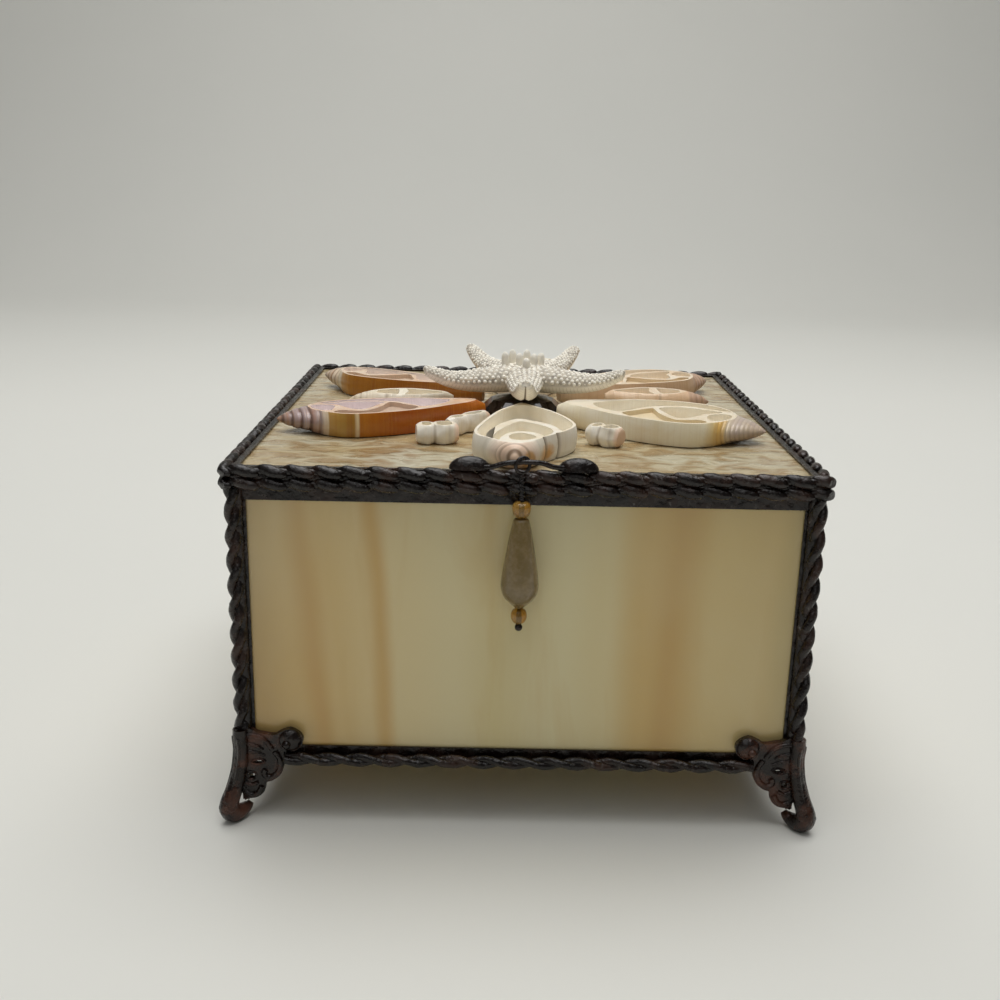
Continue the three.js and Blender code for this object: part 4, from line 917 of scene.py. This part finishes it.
def addSlice(settings):
    shape = sliceShapes[settings["shape"]]
    start, end = Vector(settings["from"]), Vector(settings["to"])
    length = (end - start).length
    left, right, tall = settings["left"], settings["right"], settings["tall"]
    flip = -1 if settings.get("flip") else 1
    widths = curveThrough(shape["profile"], 8)
    lifts = curveThrough([(s, v, 0) for s, v in shape["lift"]], 8)

    def halves(share):
        plus, minus = valuesAt(widths, share)
        plus, minus = (minus, plus) if flip < 0 else (plus, minus)
        lift = max(valuesAt(lifts, share)[0], 0.02)
        return max(plus, 0.01) * left, max(minus, 0.01) * right, lift * tall / 2

    def grooveAt(share, side):
        dip = 0.0
        for spot, notched in shape["notches"]:
            if notched * flip == side:
                dip = max(dip, math.exp(-((share - spot) * length / sliceWork["notchWidth"]) ** 2))
        if share > shape["ridgeFrom"]:
            phase = (share - shape["ridgeFrom"]) * length / settings["pitch"]
            wave = (0.5 - 0.5 * math.cos(2 * math.pi * phase)) ** 3
            dip = max(dip, settings["ridges"] * wave * min(1, phase))
        return dip

    bm = bmesh.new()
    along = bm.verts.layers.float.new("along")
    crease = bm.verts.layers.float.new("crease")
    part = bm.faces.layers.float.new("part")
    coarse = shape["ridgeFrom"] if shape["ridgeFrom"] < 1 else 0.98
    count = max(14, round(coarse * length / sliceWork["step"]))
    steps = [i * coarse / count for i in range(count)]
    fine = max(4, round((1 - coarse) * length / sliceWork["fineStep"]))
    steps += [coarse + (1 - coarse) * i / fine for i in range(fine + 1)]
    rodAlong(bm, [(s * length, 0, 0) for s in steps], (1.0, 1.0), sides=sliceWork["sides"])
    for vert in bm.verts:
        share = vert.co.x / length
        plus, minus, high = halves(share)
        dip = grooveAt(share, 1 if vert.co.y > 0 else -1)
        vert.co.y *= (plus if vert.co.y > 0 else minus) * (1 - sliceWork["grooveIn"] * dip)
        vert.co.z = tall / 2 + vert.co.z * high * (1 - sliceWork["grooveDown"] * dip)
        vert[crease] = dip

    def slab(height, sign):
        cut = bmesh.ops.bisect_plane(bm, geom=list(bm.verts) + list(bm.edges) + list(bm.faces), dist=1e-5,
                                     plane_co=(0, 0, height), plane_no=(0, 0, sign),
                                     clear_outer=True)["geom_cut"]
        return openEdges(cut)

    bmesh.ops.holes_fill(bm, edges=slab(0, -1), sides=0)
    rim = slab(tall, 1)
    loops = []
    for points, depth, floor in shape["chambers"]:
        ring = []
        for spot in curveThrough([(s, w * flip, 0) for s, w in points], 4, closed=True):
            # a chamber stays inside the wall that is left where the saw passed
            plus, minus, high = halves(spot.x)
            room = math.sqrt(max(0.0, 1 - (tall / 2 / high) ** 2))
            aside = spot.y * (left if spot.y > 0 else right)
            aside = max(aside, -max(0.1, minus * room - shape["wall"]))
            aside = min(aside, max(0.1, plus * room - shape["wall"]))
            ring.append(bm.verts.new((spot.x * length, aside, tall)))
        edges = [bm.edges.new((ring[i], ring[(i + 1) % len(ring)])) for i in range(len(ring))]
        loops.append((edges, depth, floor))
    top = bmesh.ops.triangle_fill(bm, use_beauty=True, use_dissolve=False,
                                  edges=rim + [e for edges, _, _ in loops for e in edges])["geom"]
    for face in (g for g in top if isinstance(g, bmesh.types.BMFace)):
        face[part] = 1.0
    for edges, depth, floor in loops:
        for level in (0.75, 1.0):
            pulled = bmesh.ops.extrude_edge_only(bm, edges=edges)["geom"]
            edges = openEdges(pulled)
            for face in (g for g in pulled if isinstance(g, bmesh.types.BMFace)):
                face[part] = 2.0 if floor == 3 else 4.0
            lowered = [g for g in pulled if isinstance(g, bmesh.types.BMVert)]
            for vert in lowered:
                vert.co.z = tall * (1 - depth * level)
            edges = [e for e in edges if all(v in lowered for v in e.verts)]
        filled = bmesh.ops.triangle_fill(bm, use_beauty=True, use_dissolve=False, edges=edges)["geom"]
        for face in (g for g in filled if isinstance(g, bmesh.types.BMFace)):
            face[part] = float(floor)
    for vert in bm.verts:
        vert[along] = vert.co.x / length
        if settings["shape"] == "chip" and 0.2 < vert.co.z < tall - 0.2:
            # a chip's sides wander, differently on each
            vert.co.y *= 1 + 0.14 * field.noise(Vector((vert.co.x, start.x, vert.co.z)) * 0.5)
    turn = math.atan2(end.y - start.y, end.x - start.x)
    place(bm, Matrix.Translation((start.x, start.y, ornamentBase)) @ Matrix.Rotation(turn, 4, "Z"))
    piece = addPiece(settings["name"] + "_slice", bm, shellSkins[settings["skin"]],
                     [settings["name"]], sharp=50)
    roundEdges(piece, 0.3, 55)


for settings in sliceSettings:
    addSlice(settings)
print("shells made")


# Starfish: five arms that curl up, set with small knobs over pits painted dark as shade, and blunt spines
# in the middle
starSettings = {
    "place": (0.3, 0, 109.0), "reach": [28.8, 33.2, 31.0, 31.0, 33.2],
    "stations": [(0.0, 6.3, 4.4, 0), (0.2, 5.7, 4.2, 0), (0.4, 4.8, 3.8, 0.05), (0.55, 4.1, 3.3, 0.13),
                 (0.68, 3.5, 2.8, 0.26), (0.8, 2.95, 2.4, 0.44), (0.9, 2.45, 2.0, 0.65),
                 (0.96, 1.95, 1.6, 0.8), (0.985, 1.2, 1.0, 0.87)],
    "curls": [8.2, 7.9, 10.2, 10.2, 7.9], "late": [2.0, 1.25, 1, 1, 1.25],
    "stout": [1.15, 1.05, 1, 1, 1.05],
    "rows": (-1.5, -1.2, -0.9, -0.6, -0.3, 0, 0.3, 0.6, 0.9, 1.2, 1.5), "step": 1.0, "knob": 0.8,
    "sink": 0.5,
    "sides": 20, "domeHigh": 4.4, "domeWide": 8.6, "domeTall": 4.3, "stray": 0.14,
    "spine": [1.15, 1.15, 1.17, 1.2, 1.22, 1.2, 1.1, 0.88, 0.4],
    "dome": [(1.2, 4), (2.6, 8), (4.2, 13), (5.8, 18), (7.3, 23)],
    "spines": [(-5.8, -0.8, 3.9), (-3.5, 2.2, 4.2), (-1.4, -1.6, 3.7), (0.9, 2.4, 4.2), (3.0, -1.2, 3.5),
               (5.2, 1.4, 3.4), (0.6, -4.6, 2.6)],
}


def addStarfish(settings):
    bm = bmesh.new()
    raised = bm.verts.layers.float.new("raised")
    plate = bm.verts.layers.float.new("plate")
    groove = bm.verts.layers.float.new("groove")
    stations = curveThrough([(s, w, t) for s, w, t, r in settings["stations"]], 4)
    rises = curveThrough([(s, r, 0) for s, w, t, r in settings["stations"]], 4)
    knobs = []
    for index, (curl, reach) in enumerate(zip(settings["curls"], settings["reach"])):
        turn = Matrix.Rotation(-math.pi / 2 + index * 2 * math.pi / 5, 4, "Z")
        late, stout = settings["late"][index], settings["stout"][index]
        path = [Vector((s[0] * reach, 0, s[2] + max(r[1], 0) ** late * curl))
                for s, r in zip(stations, rises)]
        widths = [s[1] * (1 + (stout - 1) * min(1, s[0] * 2.5)) for s in stations]
        made = rodAlong(bm, path, [(w, s[2]) for w, s in zip(widths, stations)], sides=settings["sides"])
        travelled = 0.0
        for i, point in enumerate(path):
            before, after = path[max(i - 1, 0)], path[min(i + 1, len(path) - 1)]
            run = (after - before).normalized()
            top = Vector((-run.z, 0, run.x))
            travelled += (point - before).length
            for vert in made[i * settings["sides"]:(i + 1) * settings["sides"]]:
                off = vert.co - point
                high = off.dot(top) / stations[i][2]
                if high < 0 and abs(off.y) < 0.2 * widths[i]:
                    # the groove that runs down the underside of an arm
                    vert.co += top * stations[i][2] * 0.22
                    vert[groove] = 1.0
                    vert[raised] = 0.9
                elif high < -0.05:
                    vert[raised] = 0.9
                    vert[plate] = 1 + travelled
                else:
                    vert[raised] = 0.3
        # rows of knobs across the arm, every other one shifted by half a space
        share = 0.1
        odd = 0
        while share < 0.985:
            i = max(k for k in range(len(stations)) if stations[k][0] <= share)
            j = min(i + 1, len(stations) - 1)
            t = (share - stations[i][0]) / max(stations[j][0] - stations[i][0], 1e-6)
            spot, size = path[i].lerp(path[j], t), stations[i].lerp(stations[j], t)
            run = (path[j] - path[i]).normalized() if j > i else Vector((1, 0, 0))
            top = Vector((-run.z, 0, run.x))
            small = 0.5 + 0.5 * size[1] / 6.3
            half = widths[i] + (widths[j] - widths[i]) * t
            for row, angle in enumerate(settings["rows"]):
                if (row + odd) % 2 == 0:
                    away = Vector((0, math.sin(angle) * half, 0)) + top * math.cos(angle) * size[2]
                    away *= 1 - settings["sink"] * small / away.length
                    knobs.append((turn @ (spot + away), settings["knob"] * small))
            odd += 1
            share += settings["step"] * small * run.x / reach
        bmesh.ops.transform(bm, matrix=turn, verts=made)
    high, wide, tall = settings["domeHigh"], settings["domeWide"], settings["domeTall"]
    form = Matrix.Translation((0, 0, high)) @ Matrix.Diagonal((wide, wide, tall, 1))
    dome = bmesh.ops.create_uvsphere(bm, u_segments=28, v_segments=14, radius=1.0, matrix=form)["verts"]
    for vert in dome:
        vert[raised] = 0.3
    for ring, count in settings["dome"]:
        z = high + tall * math.sqrt(max(0.0, 1 - (ring / wide) ** 2))
        for k in range(count):
            angle = 2 * math.pi * (k + 0.5 * (count % 2)) / count
            knobs.append((Vector((ring * math.cos(angle), ring * math.sin(angle), z)), settings["knob"]))
    steps = random.Random(11)
    knobMesh = bpy.data.meshes.new("knob")
    one = bmesh.new()
    rise = one.verts.layers.float.new("raised")
    bmesh.ops.create_uvsphere(one, u_segments=8, v_segments=5, radius=1.0)
    for vert in one.verts:
        vert[rise] = 1.0
    one.to_mesh(knobMesh)
    one.free()
    for spot, size in knobs:
        stray = Vector([steps.uniform(-settings["stray"], settings["stray"]) for _ in range(3)])
        sized = Matrix.Translation(spot + stray) @ Matrix.Scale(size * steps.uniform(0.85, 1.1), 4)
        knobMesh.transform(sized)
        bm.from_mesh(knobMesh)
        knobMesh.transform(sized.inverted())
    bpy.data.meshes.remove(knobMesh)
    for x, y, tall in settings["spines"]:
        path = curveThrough([(x, y, 7.4), (x * 1.03, y * 1.03, 8.4 + tall * 0.5),
                             (x * 1.06, y * 1.06, 8.7 + tall)], 4)
        made = rodAlong(bm, path, [(s, s) for s in settings["spine"]], sides=12, upright=(0, 1, 0))
        for vert in made:
            vert[raised] = 0.82
    place(bm, Matrix.Translation(settings["place"]))
    addPiece("starfish_body", bm, starfishSkin, ["starfish"], sharp=60)


addStarfish(starSettings)
print("starfish made")


# The pull on the lid's front edge
pullSettings = {
    "aside": -1.2, "y": -81.05, "trimFront": -80.0, "trimTop": 103.0, "bailZ": 105.95, "wire": 0.68,
    # the bail's bends left and right of its middle: across, behind the trim's front, above its top
    "bail": [(-12.6, 1.4, 0.95), (-9.4, 0, 1.2), (-5.6, -0.8, 2.5), (3.6, -0.9, 2.75), (7.0, 0, 1.5),
             (11.6, 1.4, 0.95)],
    "blobs": [(-14.8, 5.4), (13.2, 5.4)], "blobTall": 3.3, "blobDeep": 2.6,
    "ring": 2.05, "ringWire": 0.48, "ringZ": 105.1, "stemTop": 103.2, "stemBottom": 95.7,
    "topBead": (95.5, [(0, 0.9), (0.3, 1.9), (1.2, 2.4), (2.6, 2.4), (3.6, 2.0), (4.25, 1.3)]),
    "drop": (91.0, [(0, 1.3), (0.4, 2.0), (2, 2.45), (5.5, 3.15), (9, 3.75), (12.4, 4.3), (15.8, 4.8),
                    (18.3, 5.03), (20.3, 4.75), (21.8, 4.0), (23.3, 2.6), (24.3, 1.5), (24.75, 0.8)]),
    "lowBead": (66.0, [(0, 0.9), (0.4, 1.7), (1.4, 2.12), (2.6, 2.1), (3.6, 1.6), (4.15, 0.9)]),
    "ball": (60.75, 1.05),
}


def turnedBead(profile):
    bm = bmesh.new()
    points = curveThrough([(-d, r, 0) for d, r in profile], 5)
    line = [(points[0].x, 0.0)] + [(p.x, max(p.y, 0.05)) for p in points] + [(points[-1].x, 0.0)]
    turnedBody(bm, line, 28)
    place(bm, Matrix.Rotation(-math.pi / 2, 4, "Y"))
    return bm


def addPull(settings):
    x, y = settings["aside"], settings["y"]
    bm = bmesh.new()
    front, top = settings["trimFront"], settings["trimTop"]
    path = [(across, front + back, top + up) for across, back, up in settings["bail"]]
    path.insert(3, (x, y, settings["bailZ"]))
    path = curveThrough(path, 8)
    rodAlong(bm, path, (settings["wire"], settings["wire"]), sides=10)
    for spot, half in settings["blobs"]:
        seat = Matrix.Translation((spot, front + 1.8, top + 0.3))
        form = seat @ Matrix.Diagonal((half, settings["blobDeep"], settings["blobTall"], 1))
        made = bmesh.ops.create_uvsphere(bm, u_segments=24, v_segments=14, radius=1.0,
                                         matrix=form)["verts"]
        for vert in made:
            vert.co.z = max(vert.co.z, top + 0.28)
    addPiece("bail_and_solder", bm, solderSkin, ["pull_bail"], sharp=60)

    bm = bmesh.new()
    turn = Matrix.Rotation(math.radians(28), 4, "Z")
    loop = [Vector((math.cos(a) * settings["ring"], 0, math.sin(a) * settings["ring"]))
            for a in (i * 2 * math.pi / 24 for i in range(24))]
    rodAlong(bm, loop, (settings["ringWire"], settings["ringWire"]), sides=8, upright=(0, 1, 0),
             closed=True)
    place(bm, Matrix.Translation((x, y, settings["ringZ"])) @ turn)
    wrapped = bmesh.new()
    length = settings["stemTop"] - settings["stemBottom"]
    coil = [(0.5 * math.cos(t * 0.785), 0.5 * math.sin(t * 0.785), settings["stemTop"] - length * t / 48)
            for t in range(49)]
    rodAlong(wrapped, coil, (0.42, 0.42), sides=7)
    shank = [(0, 0, settings["stemTop"]), (0, 0, settings["ball"][0])]
    rodAlong(wrapped, shank, (settings["ringWire"],) * 2, sides=8, upright=(0, 1, 0))
    bmesh.ops.create_uvsphere(wrapped, u_segments=16, v_segments=10, radius=settings["ball"][1],
                              matrix=Matrix.Translation((0, 0, settings["ball"][0])))
    place(wrapped, Matrix.Translation((x, y, 0)))
    joinInto(bm, wrapped)
    addPiece("eye_pin", bm, solderSkin, ["pull_pin"], sharp=60)

    for key, node, skin, slot in (("topBead", "pull_top_bead", amberBeadSkin, "amber_bead"),
                                  ("drop", "pull_drop", smokyBeadSkin, "smoky_bead"),
                                  ("lowBead", "pull_low_bead", amberBeadSkin, "amber_bead")):
        high, profile = settings[key]
        bm = turnedBead(profile)
        place(bm, Matrix.Translation((x, y, high)))
        addPiece(node + "_round", bm, skin, [node], sharp=60)


addPull(pullSettings)
print("pull made")


# Stage and light
stageSettings = {
    "floor": (222, 221, 214), "wall": (216, 216, 209), "sky": (1.0, 1.0, 0.99), "skyStrength": 0.11,
    "lamps": [
        ("overhead", (0.03, 0.15, 1.5), (0, 0.05, 0), 1.5, 21),
        ("frontFill", (-0.3, -1.25, 1.45), (0, 0, 0.05), 1.2, 3.8),
        ("backWash", (0, 0.55, 1.5), (0, 1.6, 0.35), 1.2, 4.2),
    ],
}


def addStage(settings):
    bm = bmesh.new()
    verts = [bm.verts.new((-2.5, y, 0)) for y in (-1.6, 1.1)]
    edge = bm.edges.new(verts)
    bend = bmesh.ops.extrude_edge_only(bm, edges=[edge])["geom"]
    bmesh.ops.translate(bm, vec=(5, 0, 0), verts=[g for g in bend if isinstance(g, bmesh.types.BMVert)])
    bm.edges.ensure_lookup_table()
    rear = [e for e in bm.edges if all(v.co.y > 1 for v in e.verts)]
    spun = bmesh.ops.spin(bm, geom=rear, cent=(0, 1.1, 0.7), axis=(1, 0, 0), dvec=(0, 0, 0),
                          angle=math.pi / 2, steps=16, use_merge=False, use_duplicate=False)["geom_last"]
    risen = bmesh.ops.extrude_edge_only(bm, edges=openEdges(spun))["geom"]
    bmesh.ops.translate(bm, vec=(0, 0, 2), verts=[g for g in risen if isinstance(g, bmesh.types.BMVert)])
    mesh = bpy.data.meshes.new("sweep")
    bm.to_mesh(mesh)
    bm.free()
    mesh.shade_smooth()
    sweep = bpy.data.objects.new("sweep", mesh)
    bpy.context.scene.collection.objects.link(sweep)
    material, tree, shader = newMaterial("sweepPaper", {"Roughness": 0.7})
    shade = noise(tree, objectPlace(tree), 3.0, 2, 0.5)
    paper = blend(tree, shade, tone(*settings["floor"]), tone(*settings["wall"]))
    tree.links.new(paper, shader.inputs["Base Color"])
    mesh.materials.append(material)

    world = bpy.data.worlds.new("world")
    world.use_nodes = True
    world.node_tree.nodes["Background"].inputs["Color"].default_value = (*settings["sky"], 1)
    world.node_tree.nodes["Background"].inputs["Strength"].default_value = settings["skyStrength"]
    bpy.context.scene.world = world
    for name, spot, aim, size, power in settings["lamps"]:
        data = bpy.data.lights.new(name, "AREA")
        data.size = size
        data.energy = power
        lamp = bpy.data.objects.new(name, data)
        direction = Vector(aim) - Vector(spot)
        facing = direction.to_track_quat("-Z", "Y").to_matrix().to_4x4()
        lamp.matrix_world = Matrix.Translation(spot) @ facing
        bpy.context.scene.collection.objects.link(lamp)
    bpy.context.scene.view_settings.view_transform = "Standard"


addStage(stageSettings)
print("stage made")
